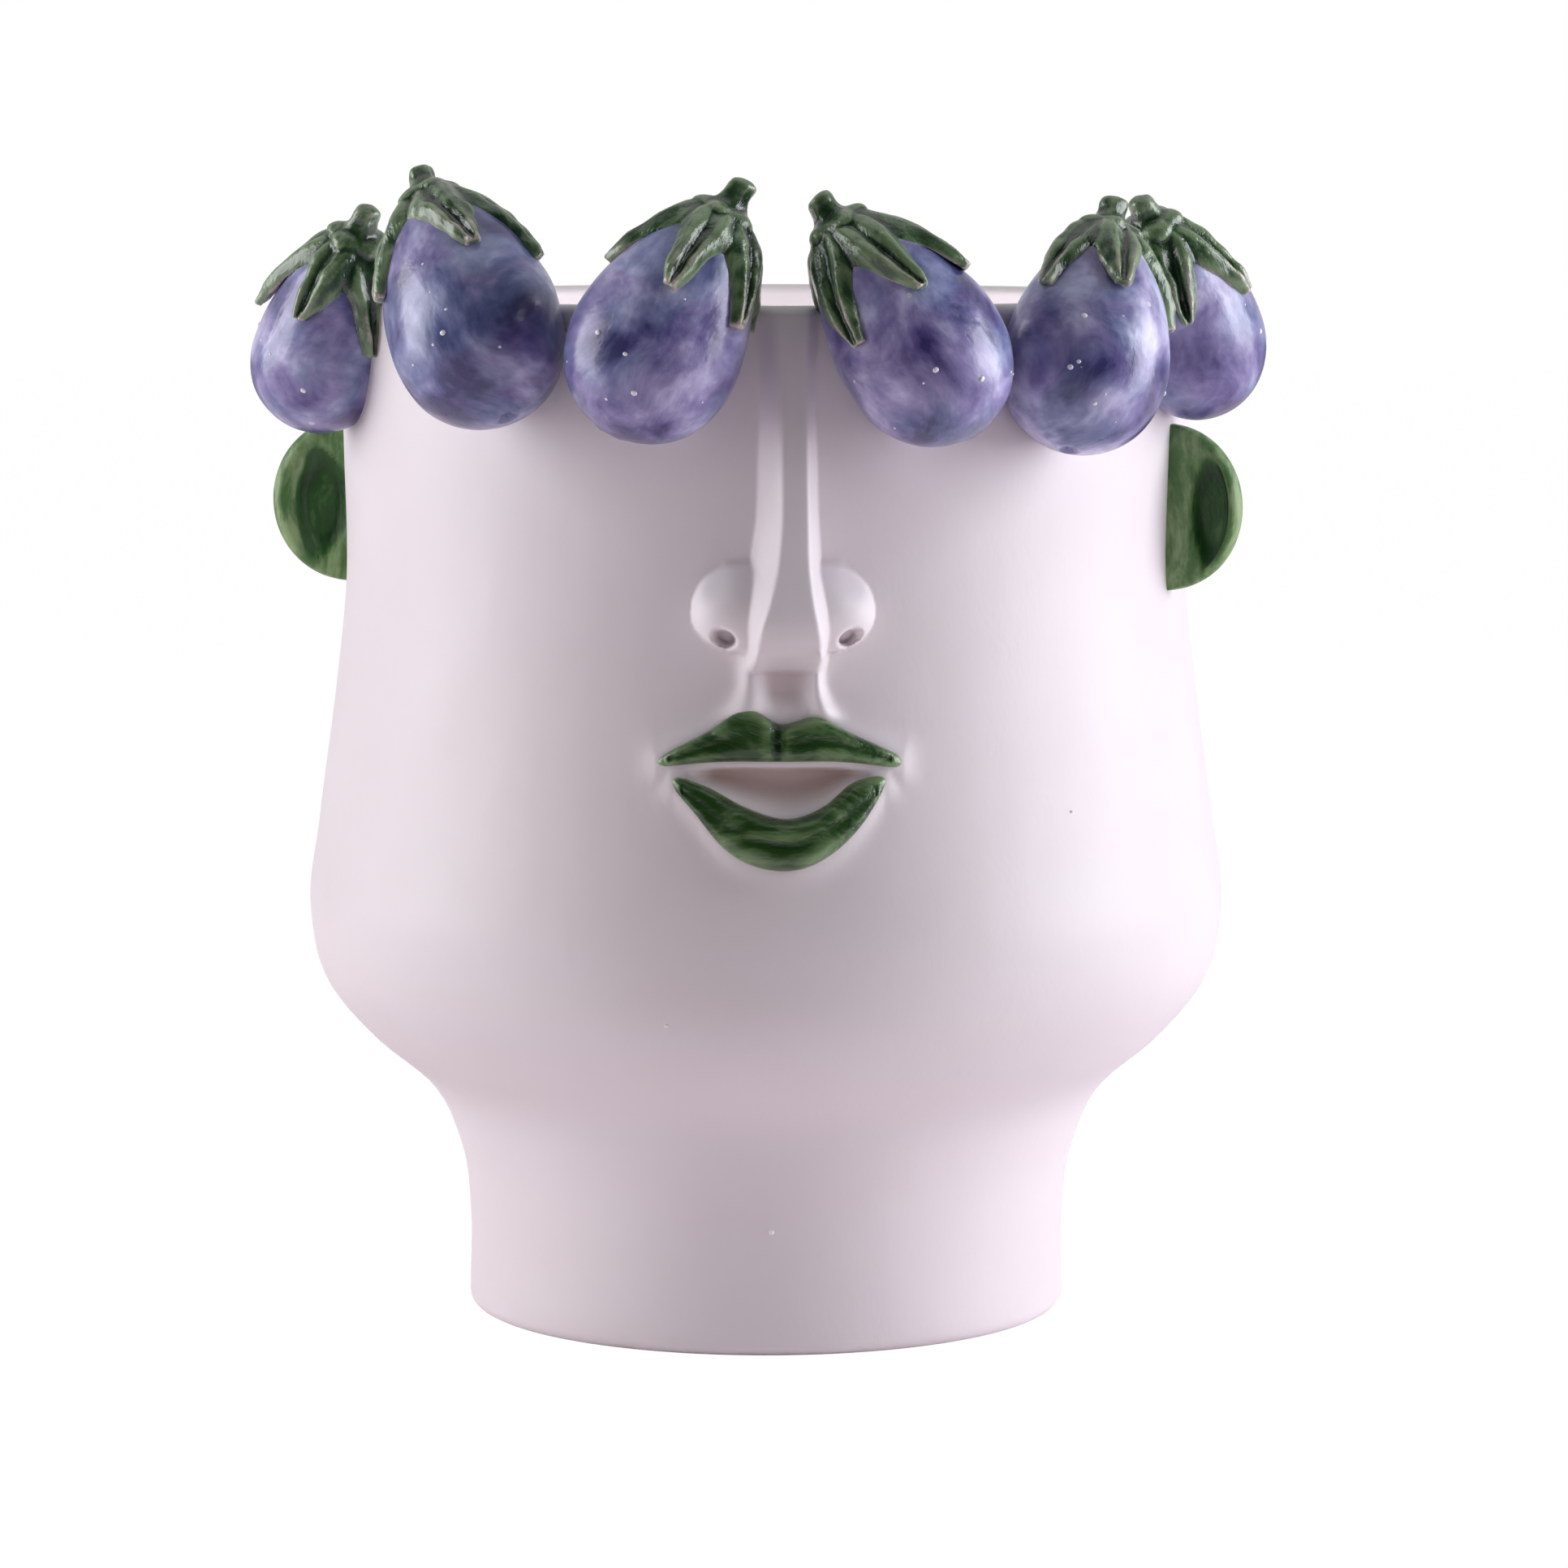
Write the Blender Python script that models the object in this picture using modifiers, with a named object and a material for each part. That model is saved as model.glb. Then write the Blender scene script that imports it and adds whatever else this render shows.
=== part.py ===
"""A glazed ceramic head vase: a round jar with a nose, lips and ears, crowned with six small eggplants.

The jar stands on z = 0 with its axis on Z, and its face looks along -Y. Lengths are in metres.
"""

import math

import bmesh
import bpy
from mathutils import Matrix, Vector

MM = 0.001

# The jar
RIM_HEIGHT = 247 * MM
RIM_RADIUS = 102.7 * MM
WALL = 6 * MM
FLOOR = 8 * MM
RIM_ROUND = 2.4 * MM
BASE_ROUND = 3 * MM
TURN_STEPS = 56
# Radius and height of the outer side, from the neck up to the cheeks and the straight brow.
JAR_SIDE = [
    (73.0, 3.0),
    (72.9, 22.0),
    (75.4, 40.0),
    (83.5, 56.3),
    (97.4, 68.4),
    (107.3, 80.5),
    (111.6, 98.0),
    (109.0, 121.0),
    (104.7, 152.0),
    (102.2, 176.0),
    (102.7, 215.0),
    (102.7, 244.6),
]

# The face
FACE_TURN = 1.7  # degrees towards +X
# Height, half width and how far the nose stands out from the brow, from its root down to its base.
NOSE_SECTIONS = [
    (246.6, 4.6, 2.2),
    (240.0, 5.4, 5.2),
    (225.0, 5.6, 7.2),
    (208.0, 6.2, 9.2),
    (194.0, 7.4, 12.5),
    (183.0, 8.3, 15.6),
    (175.0, 8.6, 17.6),
    (170.0, 8.0, 16.8),
    (167.0, 6.4, 12.0),
    (165.6, 5.0, 3.0),
]
NOSE_ROOT_DEPTH = 3 * MM
NOSE_FOOT = 1.05  # the width where it meets the wall, as a share of the ridge's width
NOSTRIL_WING = {"x": 12.6 * MM, "z": 178.5 * MM, "out": 2.4 * MM, "size": (8.2 * MM, 5.8 * MM, 9.2 * MM)}
NOSTRIL = {"x": 13.8 * MM, "z": 172.6 * MM, "out": 6.0 * MM, "size": (2.7 * MM, 4.0 * MM, 2.0 * MM)}
LIP_RIDGE = {"x": 7.2 * MM, "z": 163.0 * MM, "out": 0.0, "size": (1.5 * MM, 2.4 * MM, 5.6 * MM)}
MOUTH = {"x": 0.5 * MM, "z": 139.0 * MM, "out": 0.0, "size": (19 * MM, 4.2 * MM, 5.4 * MM)}
# Distance along the wall from the middle of the face, then height, along each edge of each lip.
UPPER_LIP = {
    "top": [(-27.8, 144.0), (-17, 150.6), (-6, 156.1), (-0.7, 152.6), (8, 154.2), (18, 149.6), (27.8, 143.7)],
    "bottom": [(-27.8, 142.8), (-14, 144.2), (0, 144.3), (14, 144.1), (27.8, 142.3)],
    "relief": 5.2 * MM,
}
LOWER_LIP = {
    "top": [(-24.4, 141.2), (-16, 138.4), (-8, 134.2), (3, 131.6), (10, 134.4), (16, 139.2), (24, 141.2)],
    "bottom": [(-24.4, 139.6), (-20, 134.0), (-13, 125.2), (-2, 120.0), (9, 122.0), (18.5, 130.5), (24, 139.6)],
    "relief": 6.0 * MM,
}
LIP_SECTIONS = 15
LIP_SECTION_POINTS = 7

# The ears, upright plates on the sides. The azimuth is from the nose's side, and the reach is to the outer edge.
EARS = {
    "left_ear": {"azimuth": -89.0, "reach": 119.3 * MM},
    "right_ear": {"azimuth": 70.0, "reach": 119.4 * MM},
}
EAR_RADIUS = 20 * MM
EAR_THICK = 7 * MM
EAR_Z = 197.5 * MM
EAR_EDGE = 2.6 * MM
EAR_DISH = {"out": 4.4 * MM, "size": (11.5 * MM, 3.2 * MM, 14.4 * MM)}

# The crown of eggplants, counted from the left side of a viewer who faces the vase.
# Azimuth from the nose, height of the middle, greatest radius, length, how deep the fruit is pressed into the
# wall, the lean of its stem end along the rim, and the turn of its calyx. They lean together in pairs.
EGGPLANTS = [
    {"azimuth": -71.5, "z": 239.5, "radius": 17.0, "length": 52.0, "pressed": 11.0, "lean": 28.0, "turn": 20},
    {"azimuth": -35.8, "z": 247.0, "radius": 19.6, "length": 59.0, "pressed": 8.0, "lean": -31.0, "turn": -33},
    {"azimuth": -11.0, "z": 243.7, "radius": 19.5, "length": 56.5, "pressed": 8.0, "lean": 27.0, "turn": 46},
    {"azimuth": 16.0, "z": 242.5, "radius": 19.2, "length": 57.5, "pressed": 8.0, "lean": -34.0, "turn": -13},
    {"azimuth": 40.3, "z": 239.5, "radius": 19.0, "length": 55.0, "pressed": 8.0, "lean": 22.0, "turn": -45},
    {"azimuth": 65.0, "z": 243.2, "radius": 17.0, "length": 52.0, "pressed": 11.5, "lean": -30.0, "turn": 2},
]
FRUIT_TIP_OUT = 9.0  # degrees, the blossom end away from the wall
EGG_TAPER = 0.28
FRUIT_SEGMENTS = 22
FRUIT_RINGS = 14

# A calyx is a star of sepals over the stem end. Its reach is a share of the fruit's length.
SEPALS = 5
SEPAL_TIP = 0.47
SEPAL_NOTCH = 0.16
SEPAL_THICK = 2.0 * MM
SEPAL_LIFT = 0.6 * MM
CALYX_SPOKES = 30
CALYX_RINGS = 4
STEM = {"root": 3.5 * MM, "end": 2.9 * MM, "length": 6.0 * MM, "round": 1.1 * MM, "sides": 12}

GAP = 0.4 * MM  # between pieces that are stuck together with slip


def clear_scene():
    for obj in list(bpy.data.objects):
        bpy.data.objects.remove(obj)


def new_collection(name):
    collection = bpy.data.collections.new(name)
    bpy.context.scene.collection.children.link(collection)
    return collection


def glaze(name, colour, roughness):
    material = bpy.data.materials.new(name)
    material.use_nodes = True
    shader = material.node_tree.nodes["Principled BSDF"]
    shader.inputs["Base Color"].default_value = (*colour, 1)
    shader.inputs["Roughness"].default_value = roughness
    shader.inputs["Metallic"].default_value = 0
    return material


clear_scene()
VASE = new_collection("eggplant_head_vase")
CUTTERS = new_collection("cutters")
WHITE = glaze("white_glaze", (0.86, 0.82, 0.82), 0.28)
GREEN = glaze("green_glaze", (0.045, 0.13, 0.04), 0.16)
VIOLET = glaze("violet_glaze", (0.24, 0.21, 0.42), 0.18)


def add_object(name, mesh_or_bmesh, material=None, collection=VASE, matrix=None):
    """Links a new object with this mesh, and returns it."""
    mesh = mesh_or_bmesh
    if isinstance(mesh, bmesh.types.BMesh):
        bmesh.ops.recalc_face_normals(mesh, faces=mesh.faces)
        mesh = bpy.data.meshes.new(name)
        mesh_or_bmesh.to_mesh(mesh)
        mesh_or_bmesh.free()
    obj = bpy.data.objects.new(name, mesh)
    collection.objects.link(obj)
    obj.matrix_world = matrix or Matrix.Identity(4)
    if material:
        mesh.materials.append(material)
    if mesh.polygons:
        mesh.shade_smooth()
    if collection is CUTTERS:
        obj.hide_render = True
        obj.display_type = "WIRE"
    return obj


def boolean(obj, operation, other):
    modifier = obj.modifiers.new(other.name, "BOOLEAN")
    modifier.operation = operation
    modifier.object = other


def spline(points, steps):
    """Points along a Catmull-Rom curve through the given ones, with this many steps in each span."""
    padded = [2 * Vector(points[0]) - Vector(points[1])]
    padded += [Vector(p) for p in points]
    padded += [2 * Vector(points[-1]) - Vector(points[-2])]
    found = []
    for a, b, c, d in zip(padded, padded[1:], padded[2:], padded[3:]):
        for step in range(steps):
            t = step / steps
            curve = 2 * b + (c - a) * t
            curve += (2 * a - 5 * b + 4 * c - d) * t**2
            curve += (3 * b - a - 3 * c + d) * t**3
            found.append(curve / 2)
    return found + [padded[-2]]


def height_at(edge, x):
    """Height of a lip's edge at distance x along the wall."""
    points = spline(edge, 8)
    for left, right in zip(points, points[1:]):
        if x <= right.x:
            share = (x - left.x) / (right.x - left.x)
            return left.y + (right.y - left.y) * max(share, 0)
    return points[-1].y


JAR_POINTS = [Vector(p) * MM for p in spline(JAR_SIDE, 2)]


def wall_radius(z):
    """Outer radius of the jar at height z."""
    for low, high in zip(JAR_POINTS, JAR_POINTS[1:]):
        if z <= high.y:
            return low.x + (high.x - low.x) * (z - low.y) / (high.y - low.y)
    return RIM_RADIUS


def arc(centre, radius, start, end, steps):
    """Points (radius, height) on an arc, with the angles in degrees from the outward direction."""
    angles = [math.radians(start + (end - start) * i / steps) for i in range(steps + 1)]
    return [Vector((centre[0] + radius * math.cos(a), centre[1] + radius * math.sin(a))) for a in angles]


def offset_side(distance):
    """The jar's side moved outwards by this distance, from the bottom up."""
    moved = []
    for before, point, after in zip([JAR_POINTS[0], *JAR_POINTS], JAR_POINTS, [*JAR_POINTS[1:], JAR_POINTS[-1]]):
        along = (after - before).normalized()
        moved.append(point + Vector((along.y, -along.x)) * distance)
    return moved


def turned(name, profile, material=None, collection=VASE):
    """Turns a profile of (radius, height) about Z. The profile runs down its outer side."""
    bm = bmesh.new()
    verts = [bm.verts.new((p[0], 0, p[1])) for p in profile]
    for a, b in zip(verts, verts[1:]):
        bm.edges.new((a, b))
    obj = add_object(name, bm, material, collection)
    screw = obj.modifiers.new("turn", "SCREW")
    screw.steps = TURN_STEPS
    screw.render_steps = TURN_STEPS
    screw.use_merge_vertices = True
    screw.merge_threshold = 0.00001
    screw.use_smooth_shade = True
    return obj


def jar_profile():
    inside = [p for p in offset_side(-WALL)[::2] if p.y > FLOOR + WALL]
    inside[-1].y = RIM_HEIGHT - RIM_ROUND
    inner_corner = arc((inside[0].x - WALL, FLOOR + WALL), WALL, -90, 0, 3)
    rim = arc((RIM_RADIUS - WALL + RIM_ROUND, RIM_HEIGHT - RIM_ROUND), RIM_ROUND, 180, 90, 3)
    rim += arc((RIM_RADIUS - RIM_ROUND, RIM_HEIGHT - RIM_ROUND), RIM_ROUND, 90, 0, 3)
    base_corner = arc((JAR_POINTS[0].x - BASE_ROUND, BASE_ROUND), BASE_ROUND, 0, -90, 3)
    outside = JAR_POINTS[-2:0:-1]
    return [(0, FLOOR), *inner_corner, *inside[:-1], *rim, *outside, *base_corner, (0, 0)]


def plug_profile():
    """A solid that fills the jar and stands proud of it by the gap, to trim what is stuck on."""
    side = offset_side(GAP)
    return [(0, RIM_HEIGHT + GAP), (side[-1].x, RIM_HEIGHT + GAP), *side[::-1], (0, side[0].y)]


def loft(rings):
    """A closed skin over rings that all have the same number of points."""
    bm = bmesh.new()
    made = [[bm.verts.new(p) for p in ring] for ring in rings]
    for low, high in zip(made, made[1:]):
        for i in range(len(low)):
            j = (i + 1) % len(low)
            bm.faces.new((low[i], low[j], high[j], high[i]))
    bm.faces.new(made[0][::-1])
    bm.faces.new(made[-1])
    return bm


def ellipsoid(name, centre, size, turn):
    """A helper for the Booleans: an ellipsoid with these half sizes, turned about Z after it is placed."""
    bm = bmesh.new()
    scale = Matrix.Diagonal((*size, 1))
    bmesh.ops.create_uvsphere(bm, u_segments=16, v_segments=10, radius=1, matrix=scale)
    return add_object(name, bm, None, CUTTERS, turn @ Matrix.Translation(centre))


def on_face(name, feature, side=1):
    """A helper ellipsoid for a feature of the face, placed on the wall or out from it."""
    reach = wall_radius(feature["z"]) + feature["out"]
    return ellipsoid(name, (side * feature["x"], -reach, feature["z"]), feature["size"], facing())


def facing():
    """The small turn of the face away from -Y."""
    return Matrix.Rotation(math.radians(FACE_TURN), 4, "Z")


def nose_bridge():
    rings = []
    for z, half_width, stands_out in NOSE_SECTIONS:
        wall = wall_radius(z * MM)
        back = wall - NOSE_ROOT_DEPTH
        front = wall + stands_out * MM
        ring = [(half_width * MM * NOSE_FOOT, -back, z * MM)]
        for i in range(9):
            angle = math.pi * i / 8
            across = half_width * MM * math.copysign(abs(math.cos(angle)) ** 0.7, math.cos(angle))
            out = wall - MM + (front - wall + MM) * math.sin(angle) ** 0.8
            ring.append((across, -out, z * MM))
        ring.append((-half_width * MM * NOSE_FOOT, -back, z * MM))
        rings.append(ring)
    return add_object("nose_bridge", loft(rings), None, CUTTERS, facing())


def add_face(jar):
    """Joins the nose to the jar and hollows the nostrils and the mouth."""
    boolean(jar, "UNION", nose_bridge())
    for side, word in ((-1, "left"), (1, "right")):
        boolean(jar, "UNION", on_face(f"{word}_wing", NOSTRIL_WING, side))
        boolean(jar, "UNION", on_face(f"{word}_lip_ridge", LIP_RIDGE, side))
    for side, word in ((-1, "left"), (1, "right")):
        boolean(jar, "DIFFERENCE", on_face(f"{word}_nostril", NOSTRIL, side))
    boolean(jar, "DIFFERENCE", on_face("mouth_hollow", MOUTH))


def make_lip(name, lip):
    """A lip is a loft from corner to corner. Each section is a flat back on the wall and a round front."""
    left, right = lip["top"][0][0], lip["top"][-1][0]
    rings = []
    for i in range(LIP_SECTIONS):
        share = i / (LIP_SECTIONS - 1)
        x = left + (right - left) * share
        top = height_at(lip["top"], x) * MM
        bottom = height_at(lip["bottom"], x) * MM
        relief = lip["relief"] * max(math.sin(math.pi * share) ** 0.5, 0.3)
        ring = []
        for j in range(LIP_SECTION_POINTS):
            angle = math.pi * j / (LIP_SECTION_POINTS - 1)
            z = (top + bottom) / 2 - (top - bottom) / 2 * math.cos(angle)
            radius = wall_radius(z) + GAP + relief * math.sin(angle) ** 0.8
            azimuth = x * MM / wall_radius(z)
            ring.append((radius * math.sin(azimuth), -radius * math.cos(azimuth), z))
        rings.append(ring)
    add_object(name, loft(rings), GREEN, VASE, facing())


def make_ear(name, ear, plug):
    """An ear is a round slab that stands out from the wall, with its face towards -Y and a dish in that face."""
    azimuth = math.radians(ear["azimuth"])
    side = math.copysign(1, azimuth)
    swing = Matrix.Rotation(azimuth - side * math.pi / 2, 4, "Z")
    centre_x = ear["reach"] - EAR_RADIUS
    bm = bmesh.new()
    bmesh.ops.create_cone(
        bm, cap_ends=True, segments=40, radius1=EAR_RADIUS, radius2=EAR_RADIUS, depth=EAR_THICK
    )
    upright = Matrix.Translation((side * centre_x, 0, EAR_Z)) @ Matrix.Rotation(math.radians(90), 4, "X")
    slab = add_object(name, bm, GREEN, VASE, swing @ upright)
    bevel = slab.modifiers.new("rounded_edge", "BEVEL")
    bevel.width = EAR_EDGE
    bevel.segments = 2
    dish_centre = (side * (centre_x + EAR_DISH["out"]), -EAR_THICK / 2, EAR_Z)
    boolean(slab, "DIFFERENCE", ellipsoid(f"{name}_dish", dish_centre, EAR_DISH["size"], swing))
    boolean(slab, "DIFFERENCE", plug)


def fruit_point(fruit, along, angle, lift=0.0):
    """A point on a fruit, with along from -1 at the stem end to 1 at the blossom end, moved out by lift."""

    def radius_at(u):
        full = math.sqrt(max(1 - u * u, 0)) * (1 + EGG_TAPER * u)
        return fruit["radius"] * MM * full / (1 + EGG_TAPER**2 / 2)

    half = fruit["length"] * MM / 2
    step = 0.001
    before, after = max(along - step, -1), min(along + step, 1)
    slope = Vector((radius_at(after) - radius_at(before), -half * (after - before))).normalized()
    radius = radius_at(along) - slope.y * lift
    z = -half * along + slope.x * lift
    return Vector((radius * math.cos(angle), radius * math.sin(angle), z))


def make_fruit(name, fruit, plug):
    """An egg-shaped fruit, from a sphere whose rings are moved to the egg's outline."""
    bm = bmesh.new()
    bmesh.ops.create_uvsphere(bm, u_segments=FRUIT_SEGMENTS, v_segments=FRUIT_RINGS, radius=1)
    for vert in bm.verts:
        angle = math.atan2(vert.co.y, vert.co.x)
        vert.co = fruit_point(fruit, -max(-1, min(1, vert.co.z)), angle)
    obj = add_object(name, bm, VIOLET)
    boolean(obj, "DIFFERENCE", plug)
    return obj


def sepal_reach(angle):
    """How far down the fruit the calyx reaches at this angle: far at each sepal's middle, short between two."""
    wave = 0.5 + 0.5 * math.cos(SEPALS * angle)
    return SEPAL_NOTCH + (SEPAL_TIP - SEPAL_NOTCH) * wave**1.25


def make_calyx(name, fruit, plug):
    """A star-shaped cap, from a flat grid wrapped round the stem end and thickened."""
    bm = bmesh.new()
    bmesh.ops.create_grid(bm, x_segments=CALYX_SPOKES, y_segments=CALYX_RINGS, size=1)
    for vert in bm.verts:
        angle = math.pi * (vert.co.x + 1)
        out = (vert.co.y + 1) / 2
        reach = sepal_reach(angle) * out
        along = -math.cos(reach * math.pi)
        vert.co = fruit_point(fruit, along, angle + math.radians(fruit["turn"]), GAP + SEPAL_LIFT * out**2)
    bmesh.ops.remove_doubles(bm, verts=bm.verts, dist=0.00002)
    obj = add_object(name, bm, GREEN)
    solidify = obj.modifiers.new("thickness", "SOLIDIFY")
    solidify.thickness = SEPAL_THICK
    solidify.offset = 1
    boolean(obj, "DIFFERENCE", plug)
    return obj


def make_stem(name, fruit):
    """A short stub that stands on the calyx."""
    foot = fruit["length"] * MM / 2 + GAP + SEPAL_THICK + GAP
    bm = bmesh.new()
    bmesh.ops.create_cone(
        bm,
        cap_ends=True,
        segments=STEM["sides"],
        radius1=STEM["root"],
        radius2=STEM["end"],
        depth=STEM["length"],
        matrix=Matrix.Translation((0, 0, foot + STEM["length"] / 2)),
    )
    obj = add_object(name, bm, GREEN)
    bevel = obj.modifiers.new("rounded_end", "BEVEL")
    bevel.width = STEM["round"]
    bevel.segments = 2
    return obj


def seat_of(fruit):
    """Where a fruit sits: pressed against the wall below the rim, tipped sideways and outwards."""
    azimuth = math.radians(fruit["azimuth"])
    reach = RIM_RADIUS + (fruit["radius"] - fruit["pressed"]) * MM
    place = Matrix.Translation((reach * math.sin(azimuth), -reach * math.cos(azimuth), fruit["z"] * MM))
    turn = Matrix.Rotation(azimuth, 4, "Z")
    lean = Matrix.Rotation(math.radians(fruit["lean"]), 4, "Y")
    tip_out = Matrix.Rotation(-math.radians(FRUIT_TIP_OUT), 4, "X")
    return place @ turn @ lean @ tip_out


def make_eggplant(number, fruit, plug):
    """One eggplant of the crown: its fruit, calyx and stem on one seat."""
    seat = bpy.data.objects.new(f"seat_{number}", None)
    VASE.objects.link(seat)
    seat.matrix_world = seat_of(fruit)
    pieces = [
        make_fruit(f"eggplant_{number}", fruit, plug),
        make_calyx(f"calyx_{number}", fruit, plug),
        make_stem(f"stem_{number}", fruit),
    ]
    for piece in pieces:
        piece.parent = seat


def main():
    jar = turned("vase_body", jar_profile(), WHITE)
    plug = turned("wall_plug", plug_profile(), None, CUTTERS)
    add_face(jar)
    make_lip("upper_lip", UPPER_LIP)
    make_lip("lower_lip", LOWER_LIP)
    for name, ear in EARS.items():
        make_ear(name, ear, plug)
    for number, fruit in enumerate(EGGPLANTS, 1):
        make_eggplant(number, fruit, plug)


main()
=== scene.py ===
# %% [markdown]
# # A head vase crowned with eggplants
#
# The object is a white glazed jar in the form of a head, with a nose in relief, two green lips, two green
# ears and six eggplants pressed on under its rim. Everything is clay that was stuck together wet, glazed
# and fired as one. This lesson builds the look of each piece over a plain solid model, in the same place
# and at the same size.

import math
import random

import bmesh
import bpy
import numpy as np
from mathutils import Matrix, Vector


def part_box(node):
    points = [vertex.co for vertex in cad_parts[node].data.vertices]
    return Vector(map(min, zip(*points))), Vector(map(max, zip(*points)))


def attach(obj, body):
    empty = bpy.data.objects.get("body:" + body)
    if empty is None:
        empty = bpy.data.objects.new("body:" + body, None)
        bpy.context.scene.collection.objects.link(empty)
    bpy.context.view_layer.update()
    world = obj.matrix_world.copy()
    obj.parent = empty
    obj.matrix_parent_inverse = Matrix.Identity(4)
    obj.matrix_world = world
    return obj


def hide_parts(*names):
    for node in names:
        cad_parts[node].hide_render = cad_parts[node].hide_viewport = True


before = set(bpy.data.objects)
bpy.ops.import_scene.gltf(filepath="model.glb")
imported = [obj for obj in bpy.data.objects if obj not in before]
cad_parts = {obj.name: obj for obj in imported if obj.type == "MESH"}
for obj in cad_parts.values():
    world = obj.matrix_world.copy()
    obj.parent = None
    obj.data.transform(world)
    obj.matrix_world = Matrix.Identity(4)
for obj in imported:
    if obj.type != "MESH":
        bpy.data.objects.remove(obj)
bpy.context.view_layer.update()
MM = 0.001
body_low, body_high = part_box("vase_body")
RIM_Z = body_high.z / MM
print("solid model:", len(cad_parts), "nodes; rim at", round(RIM_Z, 1), "mm")

# %% [markdown]
# ## The camera
#
# A long lens a metre and a half away keeps the rim and the foot nearly the same width, as when a potter
# looks at a pot from across the room. It is tilted down a little, so the foot shows as a shallow ellipse.

# %% Place the camera
CAMERA_DISTANCE = 1.410
CAMERA_HEIGHT = 0.2835
CAMERA_TILT = 6.316
CAMERA_PAN = 0.177
camera_data = bpy.data.cameras.new("camera")
camera_data.lens = 133.03
camera_data.sensor_width = 36.0
camera = bpy.data.objects.new("camera", camera_data)
camera.location = (0, -CAMERA_DISTANCE, CAMERA_HEIGHT)
camera.rotation_euler = (math.radians(90 - CAMERA_TILT), 0, math.radians(-CAMERA_PAN))
bpy.context.scene.collection.objects.link(camera)
bpy.context.scene.camera = camera
print("camera lens", camera_data.lens, "mm")

# %% [markdown]
# ## The studio
#
# White glaze shows its form only by what it reflects, so a potter shows it off in a pale tent: a
# bright floor, a large soft light at each side and a weaker one above, with little light from the front.
# The front of the jar then falls into a soft shade between two bright edges.

# %% Light the tent
scene = bpy.context.scene
scene.view_settings.view_transform = "Standard"
scene.view_settings.look = "None"
world = bpy.data.worlds.new("tent")
world.use_nodes = True
scene.world = world
tent = world.node_tree
tent.nodes.clear()
TENT_SEEN = 1.0
# How bright the tent is towards the camera, at the sides and behind the jar: (sideways place, brightness).
TENT_DEPTH = [(0.0, 0.02), (0.45, 0.03), (0.55, 0.12), (0.70, 0.40), (1.0, 0.60)]
TENT_TINT = (1.0, 0.96, 0.98)
world_out = tent.nodes.new("ShaderNodeOutputWorld")
seen = tent.nodes.new("ShaderNodeBackground")
seen.inputs["Color"].default_value = (1, 1, 1, 1)
seen.inputs["Strength"].default_value = TENT_SEEN
lit = tent.nodes.new("ShaderNodeBackground")
direction = tent.nodes.new("ShaderNodeTexCoord")
parts = tent.nodes.new("ShaderNodeSeparateXYZ")
tent.links.new(direction.outputs["Generated"], parts.inputs[0])
depth = tent.nodes.new("ShaderNodeMapRange")
tent.links.new(parts.outputs["Y"], depth.inputs["Value"])
depth.inputs["From Min"].default_value = -1.0
depth.inputs["From Max"].default_value = 1.0
shade = tent.nodes.new("ShaderNodeValToRGB")
tent.links.new(depth.outputs["Result"], shade.inputs["Fac"])
stops = shade.color_ramp.elements
while len(stops) > 1:
    stops.remove(stops[-1])
for number, (stop, value) in enumerate(TENT_DEPTH):
    element = stops[0] if number == 0 else stops.new(stop)
    element.position = stop
    element.color = (value * TENT_TINT[0], value * TENT_TINT[1], value * TENT_TINT[2], 1)
tent.links.new(shade.outputs["Color"], lit.inputs["Color"])
ray = tent.nodes.new("ShaderNodeLightPath")
either = tent.nodes.new("ShaderNodeMixShader")
tent.links.new(ray.outputs["Is Camera Ray"], either.inputs["Fac"])
tent.links.new(lit.outputs["Background"], either.inputs[1])
tent.links.new(seen.outputs["Background"], either.inputs[2])
tent.links.new(either.outputs["Shader"], world_out.inputs["Surface"])


def softbox(name, place, aim, size, power, colour=(1, 1, 1)):
    """A square area light at a place, turned towards an aim point."""
    data = bpy.data.lights.new(name, "AREA")
    data.shape = "RECTANGLE"
    data.size, data.size_y = size
    data.energy = power
    data.color = colour
    light = bpy.data.objects.new(name, data)
    light.location = place
    light.rotation_euler = (Vector(aim) - Vector(place)).to_track_quat("-Z", "Y").to_euler()
    bpy.context.scene.collection.objects.link(light)
    return light


MIDDLE = (0, 0, 0.14)
softbox("left_softbox", (-1.2, -0.10, 0.45), MIDDLE, (0.9, 1.0), 11.5, (1.0, 0.99, 1.02))
softbox("right_softbox", (1.2, -0.12, 0.45), MIDDLE, (0.9, 1.0), 15.0, (1.0, 1.01, 1.07))
softbox("top_softbox", (0, -0.1, 1.5), MIDDLE, (1.2, 1.2), 3.0)
softbox("bowl_lamp", (0, -0.03, 0.13), (0, 0.09, 0.23), (0.06, 0.06), 0.16)

# %% Lay the floor
floor_mesh = bpy.data.meshes.new("floor")
FLOOR_HALF = 6.0
FLOOR_GLOW = 0.96
corners = [(-1, -1), (1, -1), (1, 1), (-1, 1)]
floor_mesh.from_pydata([(x * FLOOR_HALF, y * FLOOR_HALF, 0) for x, y in corners], [], [(0, 1, 2, 3)])
floor = bpy.data.objects.new("floor", floor_mesh)
scene.collection.objects.link(floor)
floor_material = bpy.data.materials.new("pale_floor")
floor_material.use_nodes = True
floor_tree = floor_material.node_tree
floor_shader = floor_tree.nodes["Principled BSDF"]
floor_shader.inputs["Base Color"].default_value = (0.97, 0.88, 0.91, 1)
floor_shader.inputs["Roughness"].default_value = 0.9
floor_shader.inputs["Specular IOR Level"].default_value = 0.0
floor_glow = floor_tree.nodes.new("ShaderNodeEmission")
floor_glow.inputs["Strength"].default_value = 1.03
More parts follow.
